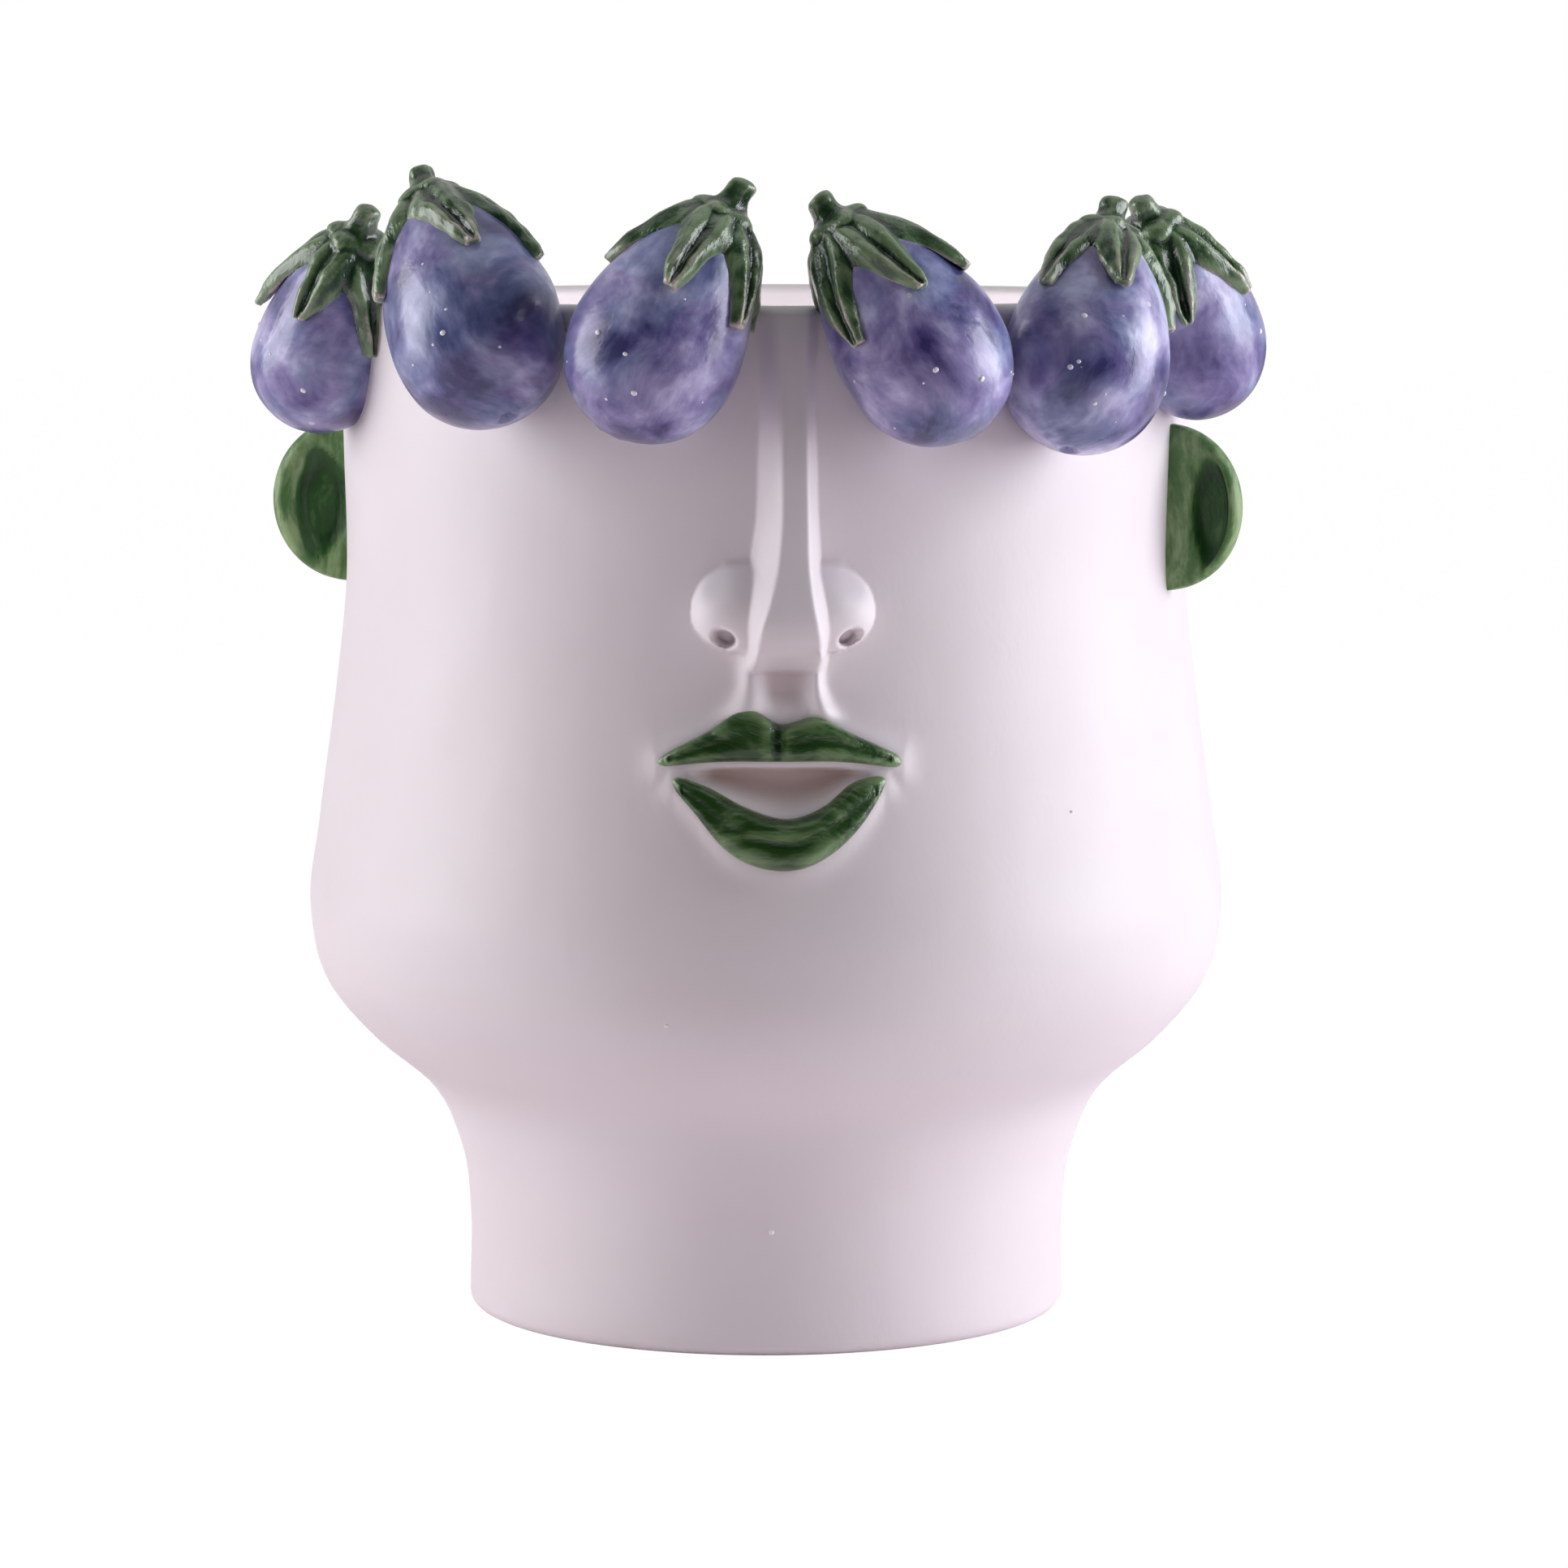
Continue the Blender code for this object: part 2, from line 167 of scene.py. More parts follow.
floor_ray = floor_tree.nodes.new("ShaderNodeLightPath")
floor_share = floor_tree.nodes.new("ShaderNodeMath")
floor_share.operation = "MULTIPLY"
floor_share.inputs[1].default_value = FLOOR_GLOW
floor_tree.links.new(floor_ray.outputs["Is Camera Ray"], floor_share.inputs[0])
floor_mix = floor_tree.nodes.new("ShaderNodeMixShader")
floor_tree.links.new(floor_share.outputs[0], floor_mix.inputs["Fac"])
floor_tree.links.new(floor_shader.outputs["BSDF"], floor_mix.inputs[1])
floor_tree.links.new(floor_glow.outputs["Emission"], floor_mix.inputs[2])
floor_tree.links.new(floor_mix.outputs["Shader"], floor_tree.nodes["Material Output"].inputs["Surface"])
floor_mesh.materials.append(floor_material)

# %% [markdown]
# ## Skins
#
# Most pieces here are a sheet of points with rows and columns, like a knitted sleeve. A helper turns such
# a sheet into faces. It can join the last column to the first, and close each end on one point. Numpy
# works out all the points at once, so that a shape may follow any formula.

# %% Helpers for skins and for smooth curves


def skin(name, points, ring=True, tip_low=None, tip_high=None):
    """A mesh object from an array of points, rows by columns by xyz in millimetres."""
    rows, columns = points.shape[:2]
    verts = points.reshape(-1, 3)
    ids = np.arange(rows * columns).reshape(rows, columns)
    across = np.concatenate([ids, ids[:, :1]], axis=1) if ring else ids
    low_left, low_right = across[:-1, :-1], across[:-1, 1:]
    high_left, high_right = across[1:, :-1], across[1:, 1:]
    faces = np.stack([low_left, low_right, high_right, high_left], axis=-1).reshape(-1, 4).tolist()
    for tip, row, flip in ((tip_low, across[0], True), (tip_high, across[-1], False)):
        if tip is None:
            continue
        verts = np.concatenate([verts, [tip]])
        pole = len(verts) - 1
        for a, b in zip(row[:-1].tolist(), row[1:].tolist()):
            faces.append([b, a, pole] if flip else [a, b, pole])
    mesh = bpy.data.meshes.new(name)
    mesh.from_pydata((verts * MM).tolist(), [], faces)
    mesh.shade_smooth()
    piece = bpy.data.objects.new(name, mesh)
    bpy.context.scene.collection.objects.link(piece)
    return piece


def through(x, table, column):
    """A smooth curve through one column of a table, whose first column is the place along x."""
    table = sorted(table)
    xs = np.array([row[0] for row in table], float)
    ys = np.array([row[column] for row in table], float)
    slopes = np.gradient(ys, xs)
    x = np.clip(x, xs[0], xs[-1])
    i = np.clip(np.searchsorted(xs, x) - 1, 0, len(xs) - 2)
    width = xs[i + 1] - xs[i]
    t = (x - xs[i]) / width
    start = (1 + 2 * t) * (1 - t) ** 2 * ys[i] + t * (1 - t) ** 2 * width * slopes[i]
    end = t * t * (3 - 2 * t) * ys[i + 1] + t * t * (t - 1) * width * slopes[i + 1]
    return start + end


def ease(x, low, high):
    """0 below low, 1 above high, and a smooth step between."""
    t = np.clip((x - low) / (high - low), 0, 1)
    return t * t * (3 - 2 * t)


def store_number(piece, name, values):
    """Keeps one number for each point of a piece, for its material to read by name."""
    layer = piece.data.attributes.new(name, "FLOAT", "POINT")
    layer.data.foreach_set("value", np.asarray(values, np.float32))


def settle(piece, nodes):
    """Hands a finished piece to the model: it rides on the jar and stands for these solid nodes."""
    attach(piece, "root")
    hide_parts(*nodes)
    print(f"{piece.name}: {len(piece.data.polygons)} faces for {', '.join(nodes)}")


# %% [markdown]
# ## Hand-made unevenness
#
# Clay pressed by hand is never a perfect egg. Adding a few slow waves in different directions is the
# cheapest way to say so, and it gives the same result on every run.

# %% A slow wobble


def wobble(points, seed, wave_mm, count=7):
    """A smooth value of about -1 to 1 for each point, from a few sine waves in chosen directions."""
    dice = random.Random(seed)
    total = np.zeros(points.shape[:-1])
    for _ in range(count):
        direction = np.array([dice.gauss(0, 1) for _ in range(3)])
        direction /= np.linalg.norm(direction)
        turns = 2 * math.pi / (wave_mm * dice.uniform(0.7, 1.4))
        total += np.sin(points @ direction * turns + dice.uniform(0, 6.28))
    return total / count**0.5 / 1.2


# %% [markdown]
# ## The jar's side
#
# The jar was thrown on a wheel: a straight foot, a hollow neck, full cheeks and a long upright brow. A
# profile of a dozen points gives all of it. Each point is a radius and a height in millimetres.

# %% The profile of the jar
SIDE = [
    (3.0, 73.0),
    (22.0, 72.9),
    (40.0, 75.4),
    (56.3, 83.5),
    (68.4, 97.4),
    (80.5, 107.3),
    (98.0, 111.6),
    (121.0, 109.0),
    (152.0, 104.7),
    (176.0, 102.2),
    (215.0, 102.7),
    (247.0, 102.7),
]
WALL = 6.0
FLOOR_THICK = 8.0


def wall_radius(z):
    """Outer radius of the jar at a height, before the face is added."""
    return through(np.asarray(z, float), SIDE, 1)


print("radius at the cheeks:", round(float(wall_radius(98.0)), 1), "mm")

# %% [markdown]
# ## The face as a relief
#
# On a real jar the nose is laid on the wall as a roll of clay and smoothed in with a wet finger, so it has
# no seam. A relief does the same: every point of the wall is pushed outwards by a height that depends on
# where it is on the face. Crossing from one form to the next stays smooth, and no parts need joining.
# The face is described in millimetres along the wall from its middle, and by height.

# %% The nose: its crest, its wings and its nostrils
# Height, how far it stands out, middle of the crest, half width of the flat front, left and right flanks.
NOSE = [
    (160.0, 0.0, 1.2, 3.0, 3.0, 3.0),
    (164.2, 0.0, 1.2, 5.2, 3.6, 3.5),
    (165.8, 4.4, 1.3, 5.9, 3.6, 3.6),
    (168.2, 10.8, 1.5, 6.0, 3.6, 3.7),
    (171.5, 14.9, 1.6, 5.9, 3.9, 4.0),
    (175.5, 17.0, 1.7, 5.2, 5.0, 4.6),
    (181.0, 16.8, 2.1, 3.9, 6.6, 5.0),
    (188.0, 14.2, 2.6, 2.8, 7.2, 4.4),
    (198.0, 11.2, 3.1, 2.3, 6.7, 3.6),
    (212.0, 8.9, 3.2, 2.2, 6.4, 3.2),
    (226.0, 6.8, 3.2, 2.2, 6.2, 3.1),
    (237.0, 4.6, 3.1, 2.4, 6.2, 3.4),
    (247.0, 1.6, 2.9, 3.0, 6.4, 4.0),
]
NOSE_MIDDLE = 0.8
WINGS = {"flat": 8.6, "fall": 12.2, "z": 177.6, "down": 8.9, "up": 11.8, "height": 9.2}
NOSTRILS = {"middle": 1.5, "s": 13.6, "z": 172.3, "half_s": 2.8, "half_z": 2.1, "slant": 24.0, "depth": 6.0}


def soft_max(a, b, blend):
    """The greater of two heights, with the crease between them filled. Nothing is added where one is 0."""
    blend = np.maximum(blend * ease(np.minimum(a, b), 0, blend), 1e-6)
    near = np.maximum(blend - np.abs(a - b), 0) / blend
    return np.maximum(a, b) + near**2 * blend / 4


def nose_relief(s, z):
    stands = through(z, NOSE, 1)
    from_crest = s - through(z, NOSE, 2)
    flat = through(z, NOSE, 3)
    flank = np.where(from_crest < 0, through(z, NOSE, 4), through(z, NOSE, 5))
    ridge = stands * (1 - ease(np.abs(from_crest) - flat, 0, flank))
    ridge = np.where((z > 247.5) | (z < 160), 0, ridge)
    across = np.maximum(np.abs(s - NOSE_MIDDLE) - WINGS["flat"], 0) / WINGS["fall"]
    up = (z - WINGS["z"]) / np.where(z > WINGS["z"], WINGS["up"], WINGS["down"])
    inside = np.clip(1 - across**2 - up**2, 0, 1)
    wings = WINGS["height"] * inside ** (0.5 + 0.45 * ease(up, 0.0, 0.7) * (1 - ease(across, 0.4, 1.0)))
    return soft_max(ridge, wings, 6.5)


def nostril_depth(s, z):
    depth = 0 * s
    for side in (-1, 1):
        slant = math.radians(side * NOSTRILS["slant"])
        ds = s - side * NOSTRILS["s"] - NOSTRILS["middle"]
        dz = z - NOSTRILS["z"]
        across = (ds * math.cos(slant) + dz * math.sin(slant)) / NOSTRILS["half_s"]
        up = (-ds * math.sin(slant) + dz * math.cos(slant)) / NOSTRILS["half_z"]
        depth = depth + NOSTRILS["depth"] * (1 - ease(np.hypot(across, up), 0.62, 1.12))
    return depth


print("nose stands out", max(row[1] for row in NOSE), "mm")

# %% [markdown]
# ## Around the mouth
#
# Two ridges run from the nose to the upper lip, with a groove between them. The lips sit on a low swelling
# of bare white clay that shows as a pale margin around the green, and the wall is pressed in between them.

# %% The ridges, the margin of the lips and the open mouth
UPPER_LIP_TOP = [(-27.8, 145.0), (-17, 150.6), (-6, 156.1), (-0.7, 152.9), (8, 154.2), (18, 149.6), (27.8, 145.2)]
UPPER_LIP_BOTTOM = [(-27.8, 142.8), (-14, 144.2), (0, 144.3), (14, 144.1), (27.8, 142.3)]
LOWER_LIP_TOP = [(-24.4, 141.2), (-16, 138.4), (-8, 134.2), (3, 131.6), (10, 134.4), (16, 139.2), (24, 141.2)]
LOWER_LIP_BOTTOM = [(-24.4, 138.2), (-20, 133.6), (-13, 125.2), (-2, 120.0), (9, 122.0), (18.5, 130.3), (24, 138.6)]
RIDGES = [
    {"s": -6.6, "flare": -1.6, "half": 2.4, "height": 2.0},
    {"s": 8.2, "flare": 2.2, "half": 1.6, "height": 2.3},
]


def outside_lip(s, z, top, bottom):
    """Distance in millimetres outside a lip's outline, and 0 inside it."""
    left, right = top[0][0], top[-1][0]
    beyond = np.maximum(np.maximum(left - s, s - right), 0)
    above = np.maximum(z - through(s, top, 1), 0)
    below = np.maximum(through(s, bottom, 1) - z, 0)
    return np.hypot(beyond, np.maximum(above, below) * 0.85)


def mouth_relief(s, z):
    relief = 0 * s
    for ridge in RIDGES:
        low = np.clip((162 - z) / 8, 0, 1)
        middle = ridge["s"] + ridge["flare"] * low**2
        half = ridge["half"] * (1 + 0.7 * low)
        along = ease(z, 152, 156) * (1 - ease(z, 168, 171))
        relief = relief + ridge["height"] * np.exp(-(((s - middle) / half) ** 2)) * along
    groove = np.exp(-(((s - 0.9) / 4.8) ** 4)) * ease(z, 155, 160) * (1 - ease(z, 166, 169))
    relief = relief - 1.3 * groove
    margin = np.minimum(
        outside_lip(s, z, UPPER_LIP_TOP, UPPER_LIP_BOTTOM), outside_lip(s, z, LOWER_LIP_TOP, LOWER_LIP_BOTTOM)
    )
    relief = relief + 1.0 * np.exp(-((margin / 3.0) ** 1.6))
    ceiling = through(s, UPPER_LIP_BOTTOM, 1) - 2.0
    ground = through(s, LOWER_LIP_TOP, 1)
    up = (z - ground) / np.maximum(ceiling - ground, 0.5)
    opening = ease(up, -0.15, 0.75) * (1 - ease(z - ceiling, -0.4, 0.7))
    opening = opening * (1 - ease(np.abs(s), 15, 22)) * (np.abs(s) < 24)
    return relief - 4.9 * opening


print("lip ridges:", len(RIDGES))

# %% [markdown]
# ## The jar's skin
#
# One sheet covers the jar outside and in. Its rows and columns crowd together on the face, where the
# forms are small, and spread out on the plain back. The inside follows the outside at a steady distance,
# as on a wheel-thrown pot, and both ends close on the axis.

# %% Build the jar
FACE_TURN = math.radians(1.7)
RIM_ROUND = 2.4
FOOT_ROUND = 3.0


def spaced(stops):
    """Places along a line: each stop is (where to go next, how far apart the places are on the way)."""
    places = [stops[0][0]]
    for end, gap in stops[1:]:
        steps = max(round((end - places[-1]) / gap), 1)
        places += list(np.linspace(places[-1], end, steps + 1)[1:])
    return np.array(places)


def jar_rows():
    """(radius, height, share of the relief) down the inside, over the rim, down the outside and under."""
    heights = spaced([(3.0,), (60, 2.8), (112, 1.9), (150, 0.85), (188, 0.52), (RIM_Z - RIM_ROUND, 1.25)])
    outside = np.stack([wall_radius(heights), heights, np.ones_like(heights)], axis=1)[::-1]
    sparse = spaced([(FLOOR_THICK + 9.0,), (RIM_Z - RIM_ROUND, 4.0)])
    slope = (wall_radius(sparse + 0.5) - wall_radius(sparse - 0.5))
    length = np.hypot(slope, 1)
    inner_r = wall_radius(sparse) - WALL / length
    inner_z = sparse + WALL * slope / length
    inner_z = np.minimum(inner_z, RIM_Z - RIM_ROUND)
    inside = np.stack([inner_r, inner_z, 0 * sparse], axis=1)
    turn = np.radians(np.linspace(-90, 0, 8))
    corner = [
        (inner_r[0] - 7 + 7 * math.cos(a), FLOOR_THICK + 7 + 7 * math.sin(a), 0.0) for a in turn
    ]
    basin = [(r, FLOOR_THICK, 0.0) for r in np.linspace(4, inner_r[0] - 7, 9)[:-1]]
    turn = np.radians(np.linspace(180, 0, 13))
    middle = wall_radius(RIM_Z) - WALL / 2
    half = WALL / 2
    lip = [
        (middle + half * math.cos(a), RIM_Z - RIM_ROUND + RIM_ROUND * math.sin(a), 0.5 + 0.5 * math.cos(a))
        for a in turn
    ]
    turn = np.radians(np.linspace(0, -90, 6))
    foot_r = wall_radius(3.0) - FOOT_ROUND
    foot = [(foot_r + FOOT_ROUND * math.cos(a), FOOT_ROUND + FOOT_ROUND * math.sin(a), 0.0) for a in turn]
    under = [(r, 0.0, 0.0) for r in np.linspace(foot_r, 4, 9)[1:]]
    return np.array([*basin, *corner, *inside[:-1], *lip, *outside[1:], *foot[1:], *under])


def jar_columns():
    """Azimuths from the middle of the face, close together over the nose and the mouth."""
    arc = spaced([(-180.0,), (-26, 2.8), (-18, 0.6), (18, 0.26), (26, 0.6), (180, 2.8)])
    return np.radians(arc[:-1])


rows = jar_rows()
columns = jar_columns()
radius = rows[:, :1] + 0 * columns
height = rows[:, 1:2] + 0 * columns
along_wall = columns * np.maximum(radius, 60)
relief = nose_relief(along_wall, height)
relief = relief + mouth_relief(along_wall, height) * (np.abs(columns) < 0.6)
relief = relief - nostril_depth(along_wall, height)
near_face = (np.abs(columns) < 0.6) & (height > 100)
relief = np.where(near_face, relief, 0) * rows[:, 2:3]
radius = radius + relief
azimuth = columns + FACE_TURN
jar_points = np.stack([radius * np.sin(azimuth), -radius * np.cos(azimuth), height], axis=-1)
thrown = wobble(jar_points, 3, 95.0) * 0.35 * np.minimum(rows[:, 1:2] / 20, 1)
jar_points[..., :2] *= (1 + thrown / 100)[..., None]
jar = skin("jar", jar_points[::-1], True, (0, 0, 0), (0, 0, FLOOR_THICK))
# How deep the nostrils and the mouth are pressed in, so the white glaze can paint shade there
store_number(jar, "painted_recess_shade", [*np.clip(-relief / 4, 0, 1)[::-1].ravel(), 0, 0])
print("greatest relief", round(float(relief.max()), 1), "mm")

# %% [markdown]
# ## The lips
#
# Each lip is a soft roll of clay, thin at its corners, laid on the swelling. A loft suits it: a row of
# rounded sections from corner to corner, between a top line and a bottom line. The upper lip is two lobes
# that meet in a crease under the groove, and the lower lip is one full crescent.

# %% Build the lips
LIP_SECTIONS = 90
LIP_ROUND = 26


def lip(name, top, bottom, fullness, crease=0.0):
    left, right = top[0][0], top[-1][0]
    share = 0.5 - 0.5 * np.cos(np.linspace(0.02, 0.98, LIP_SECTIONS) * math.pi)
    s = (left + (right - left) * share)[:, None]
    turn = np.linspace(0, 2 * math.pi, LIP_ROUND * 2, endpoint=False)[None, :]
    high = through(s, top, 1)
    low = through(s, bottom, 1)
    middle = (high + low) / 2
    half = (high - low) / 2 * (1 - (2 * share[:, None] - 1) ** 40)
    lift = fullness * np.maximum(np.sin(math.pi * share[:, None]), 0) ** 0.42
    lift = lift * (1 - crease * np.exp(-(((s + 0.7) / 1.2) ** 2)))
    z = middle + half * np.cos(turn)
    front = np.sin(turn)
    dent = 1 - 0.16 * np.exp(-((np.cos(turn) / 0.42) ** 2)) * (np.abs(2 * share[:, None] - 1) < 0.9)
    out = np.where(front > 0, lift * np.abs(front) ** 0.72 * dent, -0.5 * np.abs(front))
    reach = wall_radius(z) + 1.0 + out
    angle = s / wall_radius(z) + FACE_TURN
    points = np.stack([reach * np.sin(angle), -reach * np.cos(angle), z], axis=-1)
    points[..., 1] -= wobble(points, 11, 16.0) * 0.16 * (front > 0.2)
    return skin(name, points, True, points[0].mean(0), points[-1].mean(0))


upper_lip = lip("upper_lip_roll", UPPER_LIP_TOP, UPPER_LIP_BOTTOM, 4.4, 0.3)
lower_lip = lip("lower_lip_roll", LOWER_LIP_TOP, LOWER_LIP_BOTTOM, 5.2)
settle(upper_lip, ["upper_lip"])
settle(lower_lip, ["lower_lip"])

# %% [markdown]
# ## The ears
#
# An ear is half a pat of clay stood on edge at the side of the head. Its front is pressed into a hollow
# with a thumb, which leaves a rounded rim. It is lofted from foot to top: each level is a closed outline
# that starts inside the wall, runs out along the front, turns round the rim and comes back behind.

# %% Build the ears
EARS = [
    {"name": "left_ear", "azimuth": -89.0, "reach": 119.3, "hollow_at": 8.4, "hollow_half": 7.0},
    {"name": "right_ear", "azimuth": 70.0, "reach": 119.4, "hollow_at": 13.6, "hollow_half": 5.4},
]
EAR = {"z": 197.5, "half_tall": 19.9, "thick": 6.4, "hollow": 3.0, "levels": 70, "across": 34, "turn": 13}
EAR_ROOT = 99.4


def ear(spec):
    side = math.copysign(1, spec["azimuth"])
    level = np.sin(np.linspace(-0.5, 0.5, EAR["levels"]) * math.pi * 0.985)[:, None]
    z = EAR["z"] + EAR["half_tall"] * level
    wide = (spec["reach"] - EAR_ROOT) * np.sqrt(1 - level**2) ** 0.92 + 0.5
    half_thick = EAR["thick"] / 2 * (0.55 + 0.45 * np.sqrt(1 - level**2))
    rim = np.minimum(half_thick, wide * 0.48)
    share = np.linspace(0, 1, EAR["across"])[None, :]
    front_x = (wide - rim) * share
    from_middle = np.hypot((front_x - spec["hollow_at"]) / spec["hollow_half"], (z - EAR["z"] + 0.8) / 14.4)
    hollow = EAR["hollow"] * (1 - ease(from_middle, 0.55, 1.08))
    front_y = -half_thick + hollow * np.minimum(half_thick / 3.2, 1)
    turn = np.linspace(-math.pi / 2, math.pi / 2, EAR["turn"])[None, 1:-1]
    rim_x = wide - rim + rim * np.cos(turn)
    rim_y = half_thick * np.sin(turn)
    back_x = front_x[:, ::-1]
    back_y = half_thick * (1 - 0.12 * np.cos(back_x / wide * math.pi) ** 2)
    x = EAR_ROOT + np.concatenate([front_x, rim_x, back_x], axis=1)
    y = np.concatenate([front_y, rim_y, back_y], axis=1)
    local = np.stack([x, y, z + 0 * x], axis=-1)
    y = y + wobble(local, 21, 22.0) * 0.22
    swing = math.radians(spec["azimuth"]) - side * math.pi / 2
    flat_x = side * x
    points = np.stack(
        [flat_x * math.cos(swing) - y * math.sin(swing), flat_x * math.sin(swing) + y * math.cos(swing), z + 0 * x],
        axis=-1,
    )
    if side < 0:
        points = points[:, ::-1]
    piece = skin(spec["name"] + "_pat", points, True, points[0].mean(0), points[-1].mean(0))
    ragged = wobble(local, 77, 9.0)[:, : EAR["across"]] * 0.12
    painted = np.zeros(x.shape)
    painted[:, : EAR["across"]] = 1 - ease(from_middle + ragged, 0.86, 1.0)
    if side < 0:
        painted = painted[:, ::-1]
    store_number(piece, "dish", [*painted.ravel(), 0, 0])
    return piece


for spec in EARS:
    settle(ear(spec), [spec["name"]])

# %% [markdown]
# ## The eggplants
#
# Each fruit is an egg of clay, fuller towards its blossom end, pressed on the wall so that a slice of it
# is lost. They lean towards each other in pairs. The egg is a skin of rings around its own axis, made in
# its own frame, and then its object is seated on the rim.

# %% Seats and bodies of the six fruits
FRUITS = [
    {"azimuth": -71.5, "z": 239.5, "radius": 17.0, "length": 52.0, "pressed": 11.0, "lean": 28.0, "turn": 20},
    {"azimuth": -36.4, "z": 247.0, "radius": 20.1, "length": 59.0, "pressed": 8.5, "lean": -31.5, "turn": -33},
    {"azimuth": -11.0, "z": 243.7, "radius": 19.5, "length": 56.5, "pressed": 8.0, "lean": 27.0, "turn": 46},
    {"azimuth": 16.0, "z": 242.5, "radius": 19.2, "length": 57.5, "pressed": 8.0, "lean": -34.0, "turn": -13},
    {"azimuth": 40.3, "z": 239.5, "radius": 19.0, "length": 55.0, "pressed": 8.0, "lean": 22.0, "turn": -45},
    {"azimuth": 65.0, "z": 243.2, "radius": 17.0, "length": 52.0, "pressed": 11.5, "lean": -30.0, "turn": 2},
]
TIP_OUT = 9.0
TAPER = 0.28
RIM_RADIUS = 102.7


def seat(fruit):
    """The matrix that puts a fruit's own frame, stem up, in its place on the rim."""
    azimuth = math.radians(fruit["azimuth"])
    reach = (RIM_RADIUS + fruit["radius"] - fruit["pressed"]) * MM
    place = Matrix.Translation((reach * math.sin(azimuth), -reach * math.cos(azimuth), fruit["z"] * MM))
    turn = Matrix.Rotation(azimuth, 4, "Z")
    lean = Matrix.Rotation(math.radians(fruit["lean"]), 4, "Y")
    tip_out = Matrix.Rotation(-math.radians(TIP_OUT), 4, "X")
    return place @ turn @ lean @ tip_out


def egg_radius(fruit, along):
    """Radius of the egg; along is -1 at the stem end and 1 at the blossom end."""
    full = np.sqrt(np.maximum(1 - along**2, 0)) * (1 + TAPER * along)
    return fruit["radius"] * full / (1 + TAPER**2 / 2)


def on_fruit(fruit, along, angle):
    """Point and outward normal on the egg."""
    step = 1e-3
    radius = egg_radius(fruit, along)
    before = np.maximum(along - step, -1)
    after = np.minimum(along + step, 1)
    dr = egg_radius(fruit, after) - egg_radius(fruit, before)
    dz = -fruit["length"] / 2 * (after - before)
    size = np.maximum(np.hypot(dr, dz), 1e-9)
    out_r, out_z = -dz / size, dr / size
    point = np.stack([radius * np.cos(angle), radius * np.sin(angle), -fruit["length"] / 2 * along], axis=-1)
    normal = np.stack([out_r * np.cos(angle), out_r * np.sin(angle), out_z], axis=-1)
    return point, normal


def egg_points(fruit, number):
    rows = 76
    sides = 96
    turn = np.linspace(0.02, math.pi - 0.02, rows)[:, None]
    angle = np.linspace(0, 2 * math.pi, sides, endpoint=False)[None, :]
    along = -np.cos(turn) + 0 * angle
    radius = egg_radius(fruit, along)
    z = -fruit["length"] / 2 * along
    points = np.stack([radius * np.cos(angle), radius * np.sin(angle), z], axis=-1)
    uneven = wobble(points, 40 + number, 36.0) * 0.024 + wobble(points, 60 + number, 14.0) * 0.008
    points[..., :2] *= (1 + uneven)[..., None]
    from_pole = np.hypot(points[..., 0], points[..., 1])
    navel = (along > 0) * np.exp(-((from_pole / 1.5) ** 2))
    rays = 0.5 + 0.5 * np.cos(5 * angle + number)
    points[..., 2] += navel * (1.0 + 0.5 * rays) - (along > 0) * 0.4 * np.exp(-(((from_pole - 2.6) / 0.8) ** 2))
    return points[::-1]


print("fruits:", len(FRUITS))

# %% [markdown]
# ## Pressing a fruit on the wall
#
# A Boolean with a plug that fills the jar cuts away the slice of fruit that would be inside the wall. The
# plug is a millimetre smaller than the jar, so the fruit meets the wall with no gap to see.

# %% A plug, and a helper that cuts with it
PLUG_INSET = 1.0


def make_plug():
    heights = spaced([(120.0,), (RIM_Z - 0.6, 6.0)])
    angle = np.linspace(0, 2 * math.pi, 128, endpoint=False)[None, :]
    radius = (wall_radius(heights) - PLUG_INSET)[:, None]
    z = heights[:, None] + 0 * angle
    points = np.stack([radius * np.sin(angle), -radius * np.cos(angle), z], axis=-1)
    return skin("plug", points, True, (0, 0, heights[0]), (0, 0, heights[-1]))


plug = make_plug()


def apply_all(piece):
    """Keeps a piece's shape as its modifiers make it."""
    bpy.context.view_layer.update()
    ready = piece.evaluated_get(bpy.context.evaluated_depsgraph_get())
    mesh = bpy.data.meshes.new_from_object(ready)
    piece.modifiers.clear()
    piece.data = mesh
    mesh.shade_smooth()


def keep_place(piece):
    """Moves the seat into the points, and remembers where each point was in the fruit's own frame."""
    own = np.zeros(len(piece.data.vertices) * 3)
    piece.data.vertices.foreach_get("co", own)
    layer = piece.data.attributes.new("own_place", "FLOAT_VECTOR", "POINT")
    layer.data.foreach_set("vector", own.astype(np.float32))
    piece.data.transform(piece.matrix_world)
    piece.matrix_world = Matrix.Identity(4)


def press_on_wall(piece):
    cut = piece.modifiers.new("pressed", "BOOLEAN")
    cut.operation = "DIFFERENCE"
    cut.solver = "EXACT"
    cut.object = plug


# %% Make the six fruits
def fruit_body(number, fruit):
    points = egg_points(fruit, number)
    body = skin(f"fruit_{number}", points, True, points[0].mean(0), points[-1].mean(0))
    body.matrix_world = seat(fruit)
    press_on_wall(body)
    apply_all(body)
    return body


# %% [markdown]
# ## Specks
#
# Grains of grit and burst bubbles stand up under a glaze as pale dots a millimetre across. Small flat
# domes joined to a piece catch the light as they do, which paint alone would not.

# %% Strew specks over a piece


